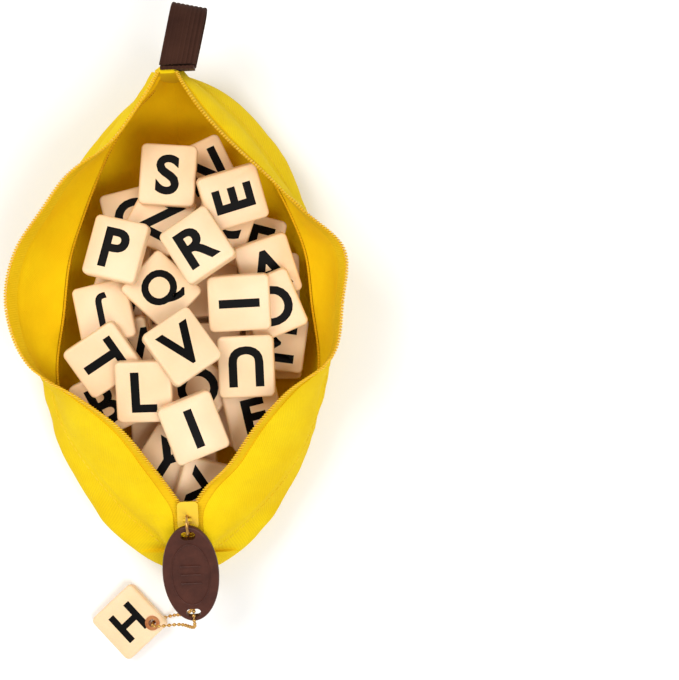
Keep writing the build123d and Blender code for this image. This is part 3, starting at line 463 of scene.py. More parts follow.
def body_half_width(y, side):
    share = max(1 - (y / body_reach(y)) ** 2, 0.0)
    return HALF_WIDTH[side] * share ** (HEAD_TAPER[side] if y > 0 else TAIL_TAPER)


def base_half_width(y):
    return BASE_HALF_WIDTH * max(1 - (2 * y / BASE_LENGTH) ** 2, 0.0)


def underside(y):
    level_to = BASE_LENGTH / 2
    rise = max(0.0, abs(y) - level_to) / (body_reach(y) - level_to)
    return UNDERSIDE + END_LIFT * rise ** 1.5


def side_rows(side, spacing=2.0):
    """Dense seam and zipper points of one side as two halves that meet in mid-flap."""
    points = np.array(SIDES[side][1])
    steps = np.linalg.norm(np.diff(points, axis=0), axis=1)
    place = np.concatenate([[0.0], np.cumsum(steps)])
    slopes = np.diff(points, axis=0) / steps[:, None]
    tangents = np.vstack([slopes[:1], np.zeros((len(points) - 2, 6)), slopes[-1:]])
    for i in range(1, len(points) - 1):
        weight = steps[i - 1] / (steps[i - 1] + steps[i])
        tangents[i] = slopes[i - 1] * (1 - weight) + slopes[i] * weight

    def at(s):
        i = min(int(np.searchsorted(place, s, side="right")) - 1, len(steps) - 1)
        t = (s - place[i]) / steps[i]
        mix = (2 * t**3 - 3 * t**2 + 1, t**3 - 2 * t**2 + t, 3 * t**2 - 2 * t**3, t**3 - t**2)
        return (mix[0] * points[i] + mix[1] * steps[i] * tangents[i]
                + mix[2] * points[i + 1] + mix[3] * steps[i] * tangents[i + 1])

    middle = place[MID_FLAP]
    halves = {}
    for half, low, high in (("tail", 0.0, middle), ("head", middle, place[-1])):
        count = max(int((high - low) / spacing), 4)
        halves[half] = np.array([at(min(low + (high - low) * k / count, place[-1] - 1e-6))
                                 for k in range(count + 1)])
    return halves


def slice_frame(side, row):
    """Inner seam point, zipper line, way to it, outward normal and outward way of one slice.

    The outward way swings over evenly where the zipper line crosses above the seam.
    """
    sign = SIDES[side][0]
    s, r = np.array(row[:3]) * (sign, 1, 1), np.array(row[3:]) * (sign, 1, 1)
    out, off = (r[0] - s[0]) * sign, r[1] - s[1]
    least = 2.5 * abs(off) + 1e-6
    outward = unit(np.array([sign * max(abs(out), least), off * min(max(out / least, -1.0), 1.0), 0.0]))
    s = s - outward * FABRIC
    straight = unit(r - s)
    flat = min(max((ZIP_LEVEL_FROM - row[4]) / ZIP_LEVEL_SPAN, 0.0), 1.0)
    along = unit(straight * (1 - flat) - outward * flat)
    normal = outward - along * np.dot(outward, along)
    normal = unit(normal) if np.linalg.norm(normal) > 1e-3 else np.array([0.0, 0.0, 1.0])
    if flat > 0:
        normal = unit(np.array([0.0, 0.0, 1.0]) - along * along[2])
    return s, r, along, normal, outward


def bend(obj, half):
    """Bakes a side panel piece's placement into its mesh, alike for both halves."""
    if half == "tail":
        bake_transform(obj)
    else:
        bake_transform(obj)


# -------------------- upper side panels and zipper
def upper_panel(side, half, rows, seed, run):
    """Lined fabric from the seam to the zipper tape, with folds, and its hem at the tape."""
    columns = 20
    outer, inner = grids(len(rows), columns)
    hem = []
    for i, row in enumerate(rows):
        s, r, along, normal, outward = slice_frame(side, row)
        if i:
            run += np.linalg.norm(r - last)
        last = r
        edge = r - along * (COIL_WIDTH + TAPE_WIDTH)
        foot_in, end_in = s, edge + along * 0.9
        foot_out, end_out = foot_in + outward * FABRIC, end_in + normal * (TAPE_THICK + 0.5)
        way = unit(end_in - foot_in)
        belly = outward - way * np.dot(outward, way)
        belly = unit(belly) if np.linalg.norm(belly) > 1e-3 else normal
        width = np.linalg.norm(end_in - foot_in)
        for j in range(columns):
            t = j / (columns - 1)
            hold = math.sin(math.pi * t) ** 0.7 if 0 < t < 1 else 0.0
            pucker = 0.22 * math.sin(run * 2 * math.pi / 6.4 + seed) * (math.exp(-t * width / 4)
                                                                     + math.exp(-(1 - t) * width / 4))
            lift = PANEL_BOW * 4 * t * (1 - t) + folds(run, t * width, seed) * hold + pucker * hold
            thick = FABRIC if t < 0.85 else FABRIC * 0.9
            outer[i, j] = foot_out * (1 - t) + end_out * t + belly * lift
            inner[i, j] = foot_in * (1 - t) + end_in * t + belly * lift + belly * (FABRIC - thick)
        hem.append((end_out - way * 2.3 + normal * 0.12, normal))
    obj = shell(f"{side}_{half}_side_panel", outer, inner, [CANVAS, LINING], 1)
    bend(obj, half)
    stitches = stitch_line(f"{side}_{half}_zip_stitches", hem, 1.5)
    bend(stitches, half)
    return obj


def tape_strip(side, half, rows):
    """Zipper tape between the panel's hem and the coil."""
    columns = 8
    outer, inner = grids(len(rows), columns)
    for i, row in enumerate(rows):
        _, r, along, normal, _ = slice_frame(side, row)
        low, high = r - along * (COIL_WIDTH + TAPE_WIDTH - 0.2), r - along * (COIL_WIDTH - 0.7)
        for j in range(columns):
            t = j / (columns - 1)
            base = low * (1 - t) + high * t
            inner[i, j] = base + normal * 0.15
            outer[i, j] = base + normal * (0.95 - 0.15 * t)
    obj = shell(f"{side}_{half}_zip_tape", outer, inner, [TAPE], 0)
    bend(obj, half)
    return obj


def coil_strip(side, half, rows):
    """Spiral coil along the zipper line."""
    centres, alongs, normals = [], [], []
    for row in rows:
        _, r, along, normal, _ = slice_frame(side, row)
        centres.append(r - along * COIL_WIDTH / 2 + normal * (COIL_THICK / 2))
        alongs.append(along)
        normals.append(normal)
    centres, alongs, normals = np.array(centres), np.array(alongs), np.array(normals)
    place = distances(centres)
    at = np.arange(0, place[-1], COIL_PITCH / COIL_STEPS)
    turns = at / COIL_PITCH * 2 * math.pi
    path = (between(at, place, centres)
            + between(at, place, alongs) * (COIL_HALF_WIDTH * np.cos(turns))[:, None]
            + between(at, place, normals) * (COIL_HALF_HEIGHT * np.sin(turns))[:, None])
    obj = tube(f"{side}_{half}_zip_coil", path, COIL_WIRE, COIL, sides=6)
    bend(obj, half)
    return obj


# -------------------- lower panels
def lower_profile(side, y, seam_out, seam_height, samples):
    """Outer line of a lower panel's slice, as distance out and height, foot first."""
    foot = np.array([base_half_width(y) - SEAM_OVERLAP, underside(y)])
    wide = max(body_half_width(y, side), seam_out + 1.0, foot[0] + FABRIC + 1.5)
    middle = np.array([wide, foot[1] + (seam_height - foot[1]) * BULGE_SHARE])
    top = np.array([seam_out, seam_height])
    away = unit(np.array([1.0, 0.05]))
    over = unit(np.array([-1.0, 0.25]) if seam_out - FABRIC < SEAM_GAP else np.array([-0.35, 1.0]))
    rise = unit(top - foot)
    rise = unit(rise * (0.6, 1.0))
    low, high = np.linalg.norm(middle - foot), np.linalg.norm(top - middle)
    line = []
    for k in range(samples):
        t = 2 * k / (samples - 1)
        a, b, ta, tb, reach = (foot, middle, away, rise, low) if t <= 1 else (middle, top, rise, over, high)
        t = t if t <= 1 else t - 1
        line.append((2 * t**3 - 3 * t**2 + 1) * a + (t**3 - 2 * t**2 + t) * ta * reach
                    + (3 * t**2 - 2 * t**3) * b + (t**3 - t**2) * tb * reach)
    return np.array(line)


def gathered(ring, inset):
    """Rows that draw the tail end of a lower panel together at the middle."""
    ring = np.array(ring)
    middle = ring[:, 2].mean()
    caps = []
    for keep, back in ((-0.04, 1.8), (0.45, 1.4), (0.8, 0.7)):
        row = ring * (keep, 1, 1)
        row[:, 1] -= back - inset * (1 - keep)
        row[:, 2] = middle + (row[:, 2] - middle) * (1 - 0.2 * (1 - keep))
        caps.append(row)
    return caps


def lower_shell(side, rows, seed):
    """Sagging side of the body, from the base seam to the seam under the upper panel."""
    sign = SIDES[side][0]
    stations = [(y, SEAM_GAP + 0.2, top) for y, top in reversed(TAIL_RIDGE)]
    stations += [(row[1], row[0], row[2]) for row in rows]
    ys = np.array(stations)
    place = distances(ys[:, :2])
    fine = between(np.linspace(0, place[-1], 130), place, ys)
    samples = 26
    outer, inner, seam_line = [], [], []
    run = 0.0
    for k, (y, seam_out, seam_height) in enumerate(fine):
        line = lower_profile(side, y, seam_out, seam_height, samples)
        slopes = np.gradient(line, axis=0)
        normals = np.stack([slopes[:, 1], -slopes[:, 0]], axis=1)
        normals /= np.maximum(np.linalg.norm(normals, axis=1), 1e-6)[:, None]
        if k:
            run += abs(y - fine[k - 1][0])
        width = np.linalg.norm(np.diff(line, axis=0), axis=1).sum()
        hold = np.sin(np.pi * np.linspace(0, 1, samples)) ** 0.6
        hold *= min(1.0, width / 25, (body_reach(y) - abs(y)) / 8 + 0.1)
        lift = np.array([folds(run, width * j / samples, seed + 11) for j in range(samples)]) * hold * 1.2
        outside = line + normals * lift[:, None]
        inside = outside - normals * FABRIC
        inside[:, 0] = np.maximum(inside[:, 0], -SEAM_OVERLAP)
        outside[:, 0] = np.maximum(outside[:, 0], -SEAM_OVERLAP)
        inside[:, 1] = np.maximum(inside[:, 1], underside(y) + 0.4)
        outside[:, 1] = np.maximum(outside[:, 1], underside(y))
        outer.append([(sign * out, y, height) for out, height in outside])
        inner.append([(sign * out, y, height) for out, height in inside])
        mark = outside[-4] + normals[-4] * 0.1
        seam_line.append(((sign * mark[0], y, mark[1]), (sign * normals[-4][0], 0, normals[-4][1])))
    outer = gathered(outer[0], 0.0) + outer
    inner = gathered(inner[0], FABRIC) + inner
    obj = shell(f"{side}_body_panel", np.array(outer), np.array(inner), [CANVAS, LINING], 1)
    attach(obj, "pouch")
    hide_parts(f"{side}_lower_panel")
    stitches = stitch_line(f"{side}_body_stitches", seam_line, 6.0)
    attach(stitches, "pouch")


def binding_strip(side, rows):
    """Overlocked seam allowance inside the seam."""
    sign = SIDES[side][0]
    outer, inner = [], []
    run = 0.0
    kept = rows[6:-6]
    for k, row in enumerate(kept):
        if k:
            run += np.linalg.norm(row[:3] - kept[k - 1][:3])
        out = row[0] - FABRIC - BINDING_GAP
        top = row[2] - BINDING_GAP
        wave = 0.35 * noise.noise(Vector((run / 9, 0.3, sign)))
        outside, inside = [], []
        for j in range(6):
            t = j / 5
            height = top - BINDING_WIDTH * t
            outside.append((sign * (out + wave * t), row[1], height))
            inside.append((sign * (out - BINDING_THICK * (1 - 0.3 * t) + wave * t), row[1], height))
        outer.append(outside)
        inner.append(inside)
    obj = shell(f"{side}_overlock", np.array(inner), np.array(outer), [OVERLOCK], 0)
    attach(obj, "pouch")
    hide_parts(f"{side}_seam_binding")


for number, side_name in enumerate(SIDES):
    halves = side_rows(side_name)
    tail_run = np.linalg.norm(np.diff(halves["tail"][:, 3:], axis=0), axis=1).sum()
    for half_name, half_rows in halves.items():
        seed = 4.7 + 9.3 * number
        start = 0.0 if half_name == "tail" else tail_run
        panel = upper_panel(side_name, half_name, half_rows, seed, start)
        tape = tape_strip(side_name, half_name, half_rows)
        coil = coil_strip(side_name, half_name, half_rows)
        zones = [half_name, "flap"]
        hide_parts(*[f"{side_name}_{zone}_panel" for zone in zones])
        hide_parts(*[f"{side_name}_{zone}_tape" for zone in zones])
        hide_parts(*[f"{side_name}_{zone}_coil" for zone in zones])
    whole = np.concatenate([halves["tail"], halves["head"][1:]])
    lower_shell(side_name, whole, 21.0 + 17.0 * number)
    binding_strip(side_name, whole)


# -------------------- base and end patches
def base_leaf():
    rows, columns = 90, 25
    top, bottom = grids(rows, columns)
    for i in range(rows):
        y = BASE_LENGTH / 2 * (2 * i / (rows - 1) - 1) * 0.998
        half = max(base_half_width(y), 0.2)
        for j in range(columns):
            t = 2 * j / (columns - 1) - 1
            puff = 0.5 * (1 - t * t) * (1 + noise.noise(Vector((y / 18, t * half / 18, 2.0))))
            top[i, j] = (half * t, y, FABRIC + puff * min(1.0, half / 12))
            bottom[i, j] = (half * t, y, 0.02)
    obj = shell("base_lining", top, bottom, [LINING, CANVAS], 1)
    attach(obj, "pouch")
    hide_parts("base_panel")


def end_leaf(name, node, y, way, widths, tuck=0.0):
    """Small stitched patch in the plane at y: widths are (height, half width) from the bottom."""
    widths = np.array(widths, float)
    rows, columns = 24, 11
    front, back = grids(rows, columns)
    for i in range(rows):
        z = widths[0, 0] + (widths[-1, 0] - widths[0, 0]) * i / (rows - 1)
        half = np.interp(z, widths[:, 0], widths[:, 1])
        for j in range(columns):
            t = 2 * j / (columns - 1) - 1
            puff = 0.45 * (1 - t * t) * math.sin(math.pi * i / (rows - 1))
            front[i, j] = (half * t, y + way * (PATCH_THICK + puff), z)
            back[i, j] = (half * t, y - way * tuck, z)
    obj = shell(name, front, back, [CANVAS], 0)
    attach(obj, "pouch")
    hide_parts(node)


base_leaf()
leaf_low = underside(HEAD_REACH) - HEAD_END_DROP
leaf_widths = [(leaf_low + (HEAD_END_WIDEST - leaf_low) * k / 8,
                max(HEAD_END_HALF_WIDTH * math.sin(math.pi * k / 16), 0.15)) for k in range(9)]
leaf_widths += [(HEAD_END_SHOULDER, HEAD_END_HALF_WIDTH), (HEAD_END_TOP, HEAD_END_HALF_WIDTH / 2)]
end_leaf("head_leaf", "head_end_patch", HEAD_END_Y, 1, leaf_widths, HEAD_END_TUCK)
end_leaf("tail_tab", "zip_end_tab", TAIL_TAB_Y, -1, TAB_WIDTHS)


# -------------------- webbing loop
lean, droop = math.radians(WEB_LEAN), math.radians(WEB_DROOP)
WEB_OUT = np.array([-math.sin(lean) * math.cos(droop), math.cos(lean) * math.cos(droop), math.sin(droop)])
WEB_ACROSS = np.array([math.cos(lean), math.sin(lean), 0.0])
WEB_UP = np.cross(WEB_ACROSS, WEB_OUT)
WEB_ORIGIN = np.array([WEB_BASE_X, HEAD_END_Y + PATCH_THICK + MOVE_GAP, WEB_BASE_Z])
RIBS = 8


def rib_height(t):
    return 0.35 * abs(math.sin(math.pi * RIBS * t)) ** 0.6


def webbing_loop():
    half = WEB_GAP / 2
    end = WEB_LENGTH - half - WEB_THICK
    nodes_x = np.array([-WEB_WIDTH / 3, WEB_LENGTH * WEB_BOW_AT, end])
    nodes_y = np.array([WEB_END_GAP / 2, half * WEB_BOW_SHARE, half])
    bow = np.polyfit(nodes_x, nodes_y, 2)
    run = [(x, np.polyval(bow, x)) for x in np.linspace(0.0, end, 34)]
    arc = [(end + half * math.sin(a), half * math.cos(a)) for a in np.linspace(0.08, math.pi - 0.08, 16)]
    line = run + arc + [(x, -y) for x, y in reversed(run)]
    line = np.array(line)
    slopes = np.gradient(line, axis=0)
    normals = np.stack([-slopes[:, 1], slopes[:, 0]], axis=1)
    normals /= np.linalg.norm(normals, axis=1)[:, None]
    columns = RIBS * 6 + 1
    outer, inner = grids(len(line), columns)
    for i, (x, y) in enumerate(line):
        settle = max(0.0, 1 - x / WEB_SEWN_LENGTH)
        for j in range(columns):
            t = j / (columns - 1)
            w = WEB_WIDTH * (t - 0.5)
            start = (0.15 - w * WEB_ACROSS[1]) / WEB_OUT[1]
            along = x + start * settle
            face = 0.15 if t in (0.0, 1.0) else rib_height(t)
            edge = 0.35 if t in (0.0, 1.0) else 0.0
            for grid, lift in ((outer, WEB_THICK - 0.2 + face - edge), (inner, 0.05 + edge)):
                place = np.array([along, y]) + normals[i] * lift
                grid[i, j] = WEB_ORIGIN + WEB_OUT * place[0] + WEB_UP * place[1] + WEB_ACROSS * w
    obj = shell("webbing_loop", outer, inner, [WEBBING], 0)
    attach(obj, "hang_loop")
    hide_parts("hang_loop")


def webbing_anchor():
    low, high = WEB_BASE_Z - WEB_ANCHOR_HALF, WEB_BASE_Z + WEB_ANCHOR_HALF
    rows, columns = 16, RIBS * 6 + 1
    front, back = grids(rows, columns)
    for i in range(rows):
        z = low + (high - low) * i / (rows - 1)
        for j in range(columns):
            t = j / (columns - 1)
            x = WEB_BASE_X + (WEB_WIDTH - 1.0) * (t - 0.5)
            front[i, j] = (x, HEAD_END_Y + PATCH_THICK - 0.25 + rib_height(t), z)
            back[i, j] = (x, HEAD_END_Y, z)
    obj = shell("webbing_anchor", front, back, [WEBBING], 0)
    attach(obj, "pouch")
    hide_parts("loop_anchor")


webbing_loop()
webbing_anchor()


# -------------------- bead chain and tag
slope = math.radians(TAG_SLOPE)
TAG_UP = np.array([0.0, math.sin(-slope), math.cos(slope)])
TAG_DOWN = np.array([0.0, -math.cos(slope), -math.sin(slope)])
TAG_ORIGIN = np.array([0.0, TAG_HOLE_Y, TAG_HOLE_Z])
LOW_HOLE = TAG_ORIGIN + TAG_DOWN * (TAG_LENGTH - 2 * TAG_HOLE_INSET)

fob_across = unit(np.array([1.0, 0.0, math.tan(math.radians(FOB_TILT))]))
FOB_UP = np.cross(fob_across, (0.0, 1.0, 0.0))
far = np.array([FOB_CENTRE[0] - FOB_SIZE / math.sqrt(2) + FOB_CORNER_IN, FOB_CENTRE[1], FOB_LIFT])
FOB_MIDDLE = far + fob_across * (FOB_CENTRE[0] - far[0]) / fob_across[0]
fob_yaw = math.radians(FOB_YAW)
FOB_X = fob_across * math.cos(fob_yaw) + np.array([0.0, 1.0, 0.0]) * math.sin(fob_yaw)
FOB_Y = np.cross(FOB_UP, FOB_X)
FOB_REACH = FOB_SIZE / 2 - FOB_EYELET_INSET


def on_fob(x, y, z):
    return FOB_MIDDLE + FOB_X * x + FOB_Y * y + FOB_UP * z


def chain_route():
    """Points of the bead loop through the tag's slot, down to the fob's eyelet and back."""
    past = LOW_HOLE + TAG_DOWN * (TAG_HOLE_INSET + CHAIN_PAST_TAG)
    above = on_fob(FOB_REACH, -FOB_REACH, FOB_THICK + CHAIN_OVER_FOB)
    below = on_fob(FOB_REACH, -FOB_REACH, -CHAIN_UNDER_FOB)
    inside = on_fob(FOB_REACH, -FOB_REACH, FOB_THICK / 2)
    return np.array([
        LOW_HOLE, LOW_HOLE + TAG_UP * 3.0 + TAG_DOWN, past + TAG_UP * 1.2,
        past + (-2.5, -1.8, -6.0), (-9.0, past[1] - 1.5, 17.0), above + (1.2, -1.0, 1.0), inside,
        below + (1.8, 0.6, 0), below + (6.5, 2.0, 0.2), (-7.0, past[1] + 2.2, 9.0),
        (-1.8, LOW_HOLE[1] - 0.6, 20.5), LOW_HOLE - TAG_UP * 3.6])


def round_spline(points, count):
    """Evenly spaced places on the closed smooth cubic through the points."""
    n = len(points)
    h = np.linalg.norm(np.roll(points, -1, axis=0) - points, axis=1)
    a = np.zeros((n, n))
    b = np.zeros((n, 3))
    for i in range(n):
        before, after = (i - 1) % n, (i + 1) % n
        a[i, before] += h[before]
        a[i, i] += 2 * (h[before] + h[i])
        a[i, after] += h[i]
        b[i] = 6 * ((points[after] - points[i]) / h[i] - (points[i] - points[before]) / h[before])
    m = np.linalg.solve(a, b)
    dense = []
    for i in range(n):
        after = (i + 1) % n
        for t in np.linspace(0, h[i], 80, endpoint=False):
            back = h[i] - t
            dense.append((m[i] * back**3 + m[after] * t**3) / (6 * h[i])
                         + (points[i] / h[i] - m[i] * h[i] / 6) * back
                         + (points[after] / h[i] - m[after] * h[i] / 6) * t)
    dense = np.array(dense + [dense[0]])
    place = distances(dense)
    return between(np.arange(count) * place[-1] / count, place, dense), place[-1]


def bead_chain():
    """Beads and links of the chain, grouped by the body that each one rides."""
    route = chain_route()
    length = round_spline(route, 10)[1]
    count = round(length / BEAD_PITCH)
    centres, _ = round_spline(route, count)
    eye = on_fob(FOB_REACH, -FOB_REACH, FOB_THICK / 2)
    groups = {"pull": [], "chain": [], "fob": []}
    for k, centre in enumerate(centres):
        if np.linalg.norm(centre - LOW_HOLE) < CHAIN_TAG_REACH:
            body = "pull"
        else:
            body = "fob" if np.linalg.norm(centre - eye) < CHAIN_FOB_REACH else "chain"
        groups[body].append((centre, centres[(k + 1) % count] - centre))
    nodes = {"pull": "chain_at_tag", "chain": "chain_runs", "fob": "chain_at_fob"}
    for body, beads in groups.items():
        places = np.array([c for c, _ in beads])
        ways = np.array([w for _, w in beads])
        ups = np.tile((0.31, 0.2, 0.93), (len(beads), 1))
        size = (BEAD_RADIUS, BEAD_RADIUS, BEAD_RADIUS)
        balls = seeds(f"beads_at_{body}", places, ways, ups, size, BRASS)
        smooth = balls.modifiers.new("Round", "SUBSURF")
        smooth.levels = smooth.render_levels = 1
        wires = seeds(f"bead_links_at_{body}", places + ways / 2, ways, ups, (0.9, 0.3, 0.3), BRASS)
        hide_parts(nodes[body])
        for obj in (balls, wires):
            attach(obj, body)


def tag_relief():
    """Raised line inside the tag's rim and three low bars across its middle."""
    middle = TAG_LENGTH / 2 - TAG_HOLE_INSET
    face = TAG_ORIGIN + TAG_UP * (TAG_THICK / 2 + 0.02)
    turns = np.linspace(0, 2 * math.pi, 97)[:-1]
    wide, long = 8.6, 16.0
    ring = [face + TAG_DOWN * (middle - long * math.cos(a)) + np.array([wide * math.sin(a), 0, 0])
            for a in turns]
    pieces = [tube("tag_line", ring, 0.32, TAG_SKIN, closed=True)]
    for k in (-1, 0, 1):
        start = face + TAG_DOWN * (middle + 4.5 * k)
        bar = [start + np.array([x, 0, 0]) for x in np.linspace(-4.6, 4.6, 13)]
        pieces.append(tube(f"tag_bar_{k + 2}", bar, 0.5, TAG_SKIN))
    for piece in pieces:
        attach(piece, "pull")


bead_chain()
tag_relief()


# -------------------- letter tiles
def outline(width, length, corner, inset):
    """Rounded rectangle, drawn in by inset."""
    radius = max(corner - inset, 0.3)
    points = []
    for k, (sx, sy) in enumerate(((1, 1), (-1, 1), (-1, -1), (1, -1))):
        cx, cy = sx * (width / 2 - inset - radius), sy * (length / 2 - inset - radius)
        for step in range(CORNER_STEPS):
            a = math.radians(90 * k + 90 * step / (CORNER_STEPS - 1))
            points.append((cx + radius * math.cos(a), cy + radius * math.sin(a)))
    return points


def blank_tile(name, width, length, thick):
    """Tile with rounded corners and soft edges, without its letter."""
    levels = [(-thick / 2 + depth, inset) for depth, inset in TILE_EDGE]
    levels += [(thick / 2 - depth, inset) for depth, inset in reversed(TILE_EDGE)]
    points, count = [], 4 * CORNER_STEPS
    for z, inset in levels:
        points += [(x, y, z) for x, y in outline(width, length, TILE_CORNER, inset)]
    faces = []
    for i in range(len(levels) - 1):
        for j in range(count):
            a, b = i * count + j, i * count + (j + 1) % count
            faces.append((a, b, b + count, a + count))
    faces.append(tuple(reversed(range(count))))
    faces.append(tuple(range((len(levels) - 1) * count, len(levels) * count)))
    return mesh_object(name, points, faces, [IVORY, INK])


def letter_solid(letter, height, deep):
    """Bold letter as a closed mesh, middle at the origin, in metres."""
    curve = bpy.data.curves.new("letter", "FONT")
    curve.body = letter
    curve.size = 1.0
    curve.offset = 0.03
    curve.extrude = 0.5
    curve.resolution_u = 5
    holder = bpy.data.objects.new("letter", curve)
    bpy.context.collection.objects.link(holder)
    bpy.context.view_layer.update()
    mesh = bpy.data.meshes.new_from_object(holder.evaluated_get(bpy.context.evaluated_depsgraph_get()))
    bpy.data.objects.remove(holder)
    points = np.array([v.co for v in mesh.vertices])
    low, high = points.min(axis=0), points.max(axis=0)
    scale = height / (high[1] - low[1])
    points[:, :2] = (points[:, :2] - (low + high)[:2] / 2) * scale
    points[:, 2] *= deep * 2
    for vertex, point in zip(mesh.vertices, points * MM):
        vertex.co = point
    work = bmesh.new()
    work.from_mesh(mesh)
    bmesh.ops.remove_doubles(work, verts=work.verts, dist=2e-6)
    bmesh.ops.recalc_face_normals(work, faces=work.faces)
    work.to_mesh(mesh)
    work.free()
    mesh.materials.clear()
    mesh.materials.append(INK)
    return mesh


def cut(obj, mesh, place):
    """Cut a mesh out of obj, keeping the cutter's material on the new faces."""
    tool = bpy.data.objects.new("cutter", mesh)
    bpy.context.collection.objects.link(tool)
    tool.matrix_world = place
    modifier = obj.modifiers.new("Cut", "BOOLEAN")
    modifier.operation = "DIFFERENCE"
    modifier.solver = "EXACT"
    modifier.object = tool
    modifier.material_mode = "TRANSFER"
    modifier.use_self = True
    bpy.context.view_layer.update()
    result = bpy.data.meshes.new_from_object(obj.evaluated_get(bpy.context.evaluated_depsgraph_get()))
    obj.modifiers.clear()
    obj.data = result
    bpy.data.objects.remove(tool)
    obj.data.set_sharp_from_angle(angle=math.radians(38))


def letter_tile(name, letter, width, length, thick, height):
    obj = blank_tile(name, width, length, thick)
    cut(obj, letter_solid(letter, height, LETTER_DEPTH), Matrix.Translation((0, 0, thick / 2 * MM)))
    return obj


def matrix_of(centre, x, y, z):
    """Place with its axes, from a centre in metres."""
    return Matrix(((x[0], y[0], z[0], centre[0]), (x[1], y[1], z[1], centre[1]),
                   (x[2], y[2], z[2], centre[2]), (0, 0, 0, 1)))


def islands(node):
    """Separate solids of a CAD node: centre and axes of each tile in it."""
    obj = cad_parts[node]
    world = np.array(obj.matrix_world)
    points = np.array([v.co for v in obj.data.vertices]) @ world[:3, :3].T + world[:3, 3]
    keys = {}
    merged = np.array([keys.setdefault(tuple(k), len(keys)) for k in np.round(points, 6)])
    corners = [[merged[v] for v in f.vertices] for f in obj.data.polygons]
    owner = list(range(len(keys)))

    def root(i):
        while owner[i] != i:
            owner[i] = owner[owner[i]]
            i = owner[i]
        return i

    for face in corners:
        first = root(face[0])
        for other in face[1:]:
            owner[root(other)] = first
    label = np.array([root(m) for m in merged])
    face_label = np.array([root(face[0]) for face in corners])
    normals = np.array([f.normal for f in obj.data.polygons]) @ world[:3, :3].T
    areas = np.array([f.area for f in obj.data.polygons])
    found = []
    for one in np.unique(face_label):
        mine = face_label == one
        spread = (normals[mine].T * areas[mine]) @ normals[mine]
        values, axes = np.linalg.eigh(spread)
        z, x = axes[:, 2], axes[:, 1]
        z = z if z[2] > 0 else -z
        y = np.cross(z, x)
        own = points[label == one]
        local = own @ np.stack([x, y, z], axis=1)
        middle = (local.min(axis=0) + local.max(axis=0)) / 2
        size = local.max(axis=0) - local.min(axis=0)
        if size[0] > size[1]:
            x, y = y, -x
            middle[0], middle[1] = middle[1], -middle[0]
        found.append((np.stack([x, y, z], axis=1) @ middle, x, y, z))
    return found


def place_tiles():
    """Lettered tiles where the solids lie; each takes the letter and turn of the nearest entry."""
    tiles = [("tile_pile_top", "pouch", *tile) for tile in islands("tile_pile_top")]
    for name in ("tile_i", "tile_v", "tile_r"):
        tiles += [(name, name, *tile) for tile in islands(name)]
    pairs = sorted((math.hypot(tile[2][0] / MM - t[1], tile[2][1] / MM - t[2]), i, k)
                   for i, tile in enumerate(tiles) for k, t in enumerate(TOP_TILES))
    chosen, used = {}, set()
    for _, i, k in pairs:
        if i not in chosen and k not in used:
            chosen[i] = k
            used.add(k)
    for i, (node, body, centre, x, y, z) in enumerate(tiles):
        letter, _, _, yaw = TOP_TILES[chosen[i]]
        wanted = (-math.sin(math.radians(yaw)), math.cos(math.radians(yaw)))
        if y[0] * wanted[0] + y[1] * wanted[1] < 0:
            x, y = -x, -y
        obj = letter_tile(f"letter_tile_{i + 1:02d}", letter, TILE_WIDTH, TILE_LENGTH, TILE_THICK,
                          LETTER_HEIGHT)
        obj.matrix_world = matrix_of(centre, x, y, z)
        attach(obj, body)
        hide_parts(node)


def fob_piece():
    obj = letter_tile("fob_letter_tile", "H", FOB_SIZE, FOB_SIZE, FOB_THICK, FOB_LETTER_HEIGHT)
    hole = bpy.data.meshes.new("hole")
    work = bmesh.new()
    bmesh.ops.create_cone(work, cap_ends=True, segments=40, radius1=FOB_HOLE_RADIUS * MM,
                          radius2=FOB_HOLE_RADIUS * MM, depth=4 * FOB_THICK * MM)
    work.to_mesh(hole)
    work.free()
    hole.materials.append(IVORY)
    cut(obj, hole, Matrix.Translation((FOB_REACH * MM, -FOB_REACH * MM, 0)))
    centre = on_fob(0, 0, FOB_THICK / 2) * MM
    obj.matrix_world = matrix_of(centre, FOB_X, FOB_Y, FOB_UP)
    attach(obj, "fob")
    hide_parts("fob_tile")


place_tiles()
fob_piece()

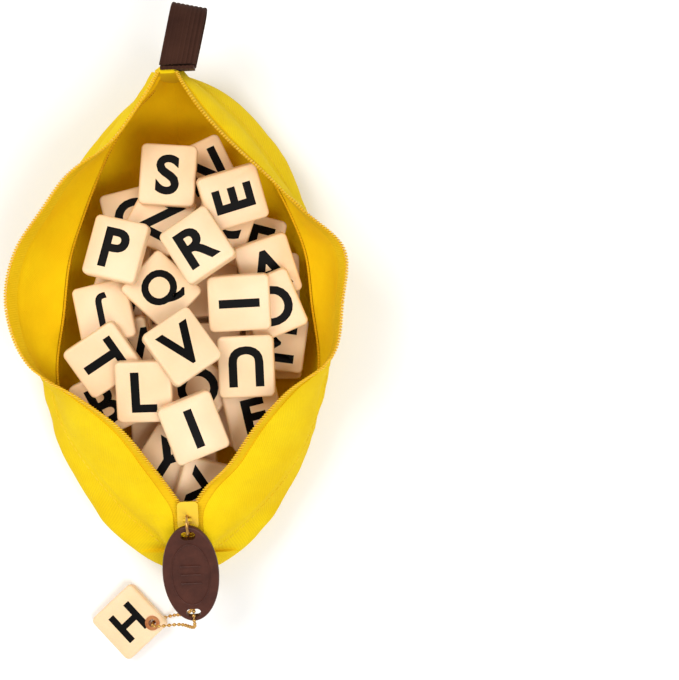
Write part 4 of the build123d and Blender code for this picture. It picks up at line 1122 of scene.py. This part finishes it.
# -------------------- kept CAD nodes
KEPT = {"tile_pile_1": IVORY, "tile_pile_2": IVORY, "tile_pile_3": IVORY, "slider_body": ENAMEL,
        "pull_link": BRASS, "bottom_stop": BRASS, "fob_eyelet": COPPER, "pull_tag": TAG_SKIN}
for node_name, material in KEPT.items():
    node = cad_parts[node_name]
    for slot in node.material_slots:
        slot.material = material

# -------------------- floor, lights, camera
bpy.ops.mesh.primitive_plane_add(size=8, location=(0, 0, -0.0001))
floor = bpy.context.object
floor.name = "floor"
paper = Nodes("paper")
paper.shader.inputs["Base Color"].default_value = (0.91, 0.91, 0.91, 1)
paper.shader.inputs["Roughness"].default_value = 0.9
paper.shader.inputs["Emission Color"].default_value = (1, 1, 1, 1)
paper.shader.inputs["Emission Strength"].default_value = 0.06
floor.data.materials.append(paper.material)

world = bpy.data.worlds.new("studio")
bpy.context.scene.world = world
world.use_nodes = True
world.node_tree.nodes["Background"].inputs["Color"].default_value = (1, 1, 1, 1)
world.node_tree.nodes["Background"].inputs["Strength"].default_value = 0.62


def area_light(name, place, size, power):
    """Square lamp that shines at the origin."""
    data = bpy.data.lights.new(name, "AREA")
    data.shape = "SQUARE"
    data.size = size
    data.energy = power
    obj = bpy.data.objects.new(name, data)
    bpy.context.collection.objects.link(obj)
    obj.rotation_euler = (-Vector(place)).to_track_quat("-Z", "Y").to_euler()
    obj.location = place
    return obj


area_light("key", (-0.6, 0.45, 1.35), 0.7, 9.5)
area_light("fill", (0.45, -0.6, 1.45), 0.7, 11.0)

CAMERA_HEIGHT, VIEW_WIDTH = 1.17, 0.319
right, up = np.array([0.9991, -0.0431, 0.0]), np.array([0.0431, 0.9991, 0.0])
camera_data = bpy.data.cameras.new("camera")
camera_data.sensor_width = 36.0
camera_data.lens = 36.0 * CAMERA_HEIGHT / VIEW_WIDTH
camera_data.clip_end = 20.0
camera = bpy.data.objects.new("camera", camera_data)
bpy.context.collection.objects.link(camera)
camera.matrix_world = matrix_of((0.0715, -0.0119, CAMERA_HEIGHT), right, up, (0, 0, 1))
bpy.context.scene.camera = camera
bpy.context.scene.view_settings.view_transform = "Standard"
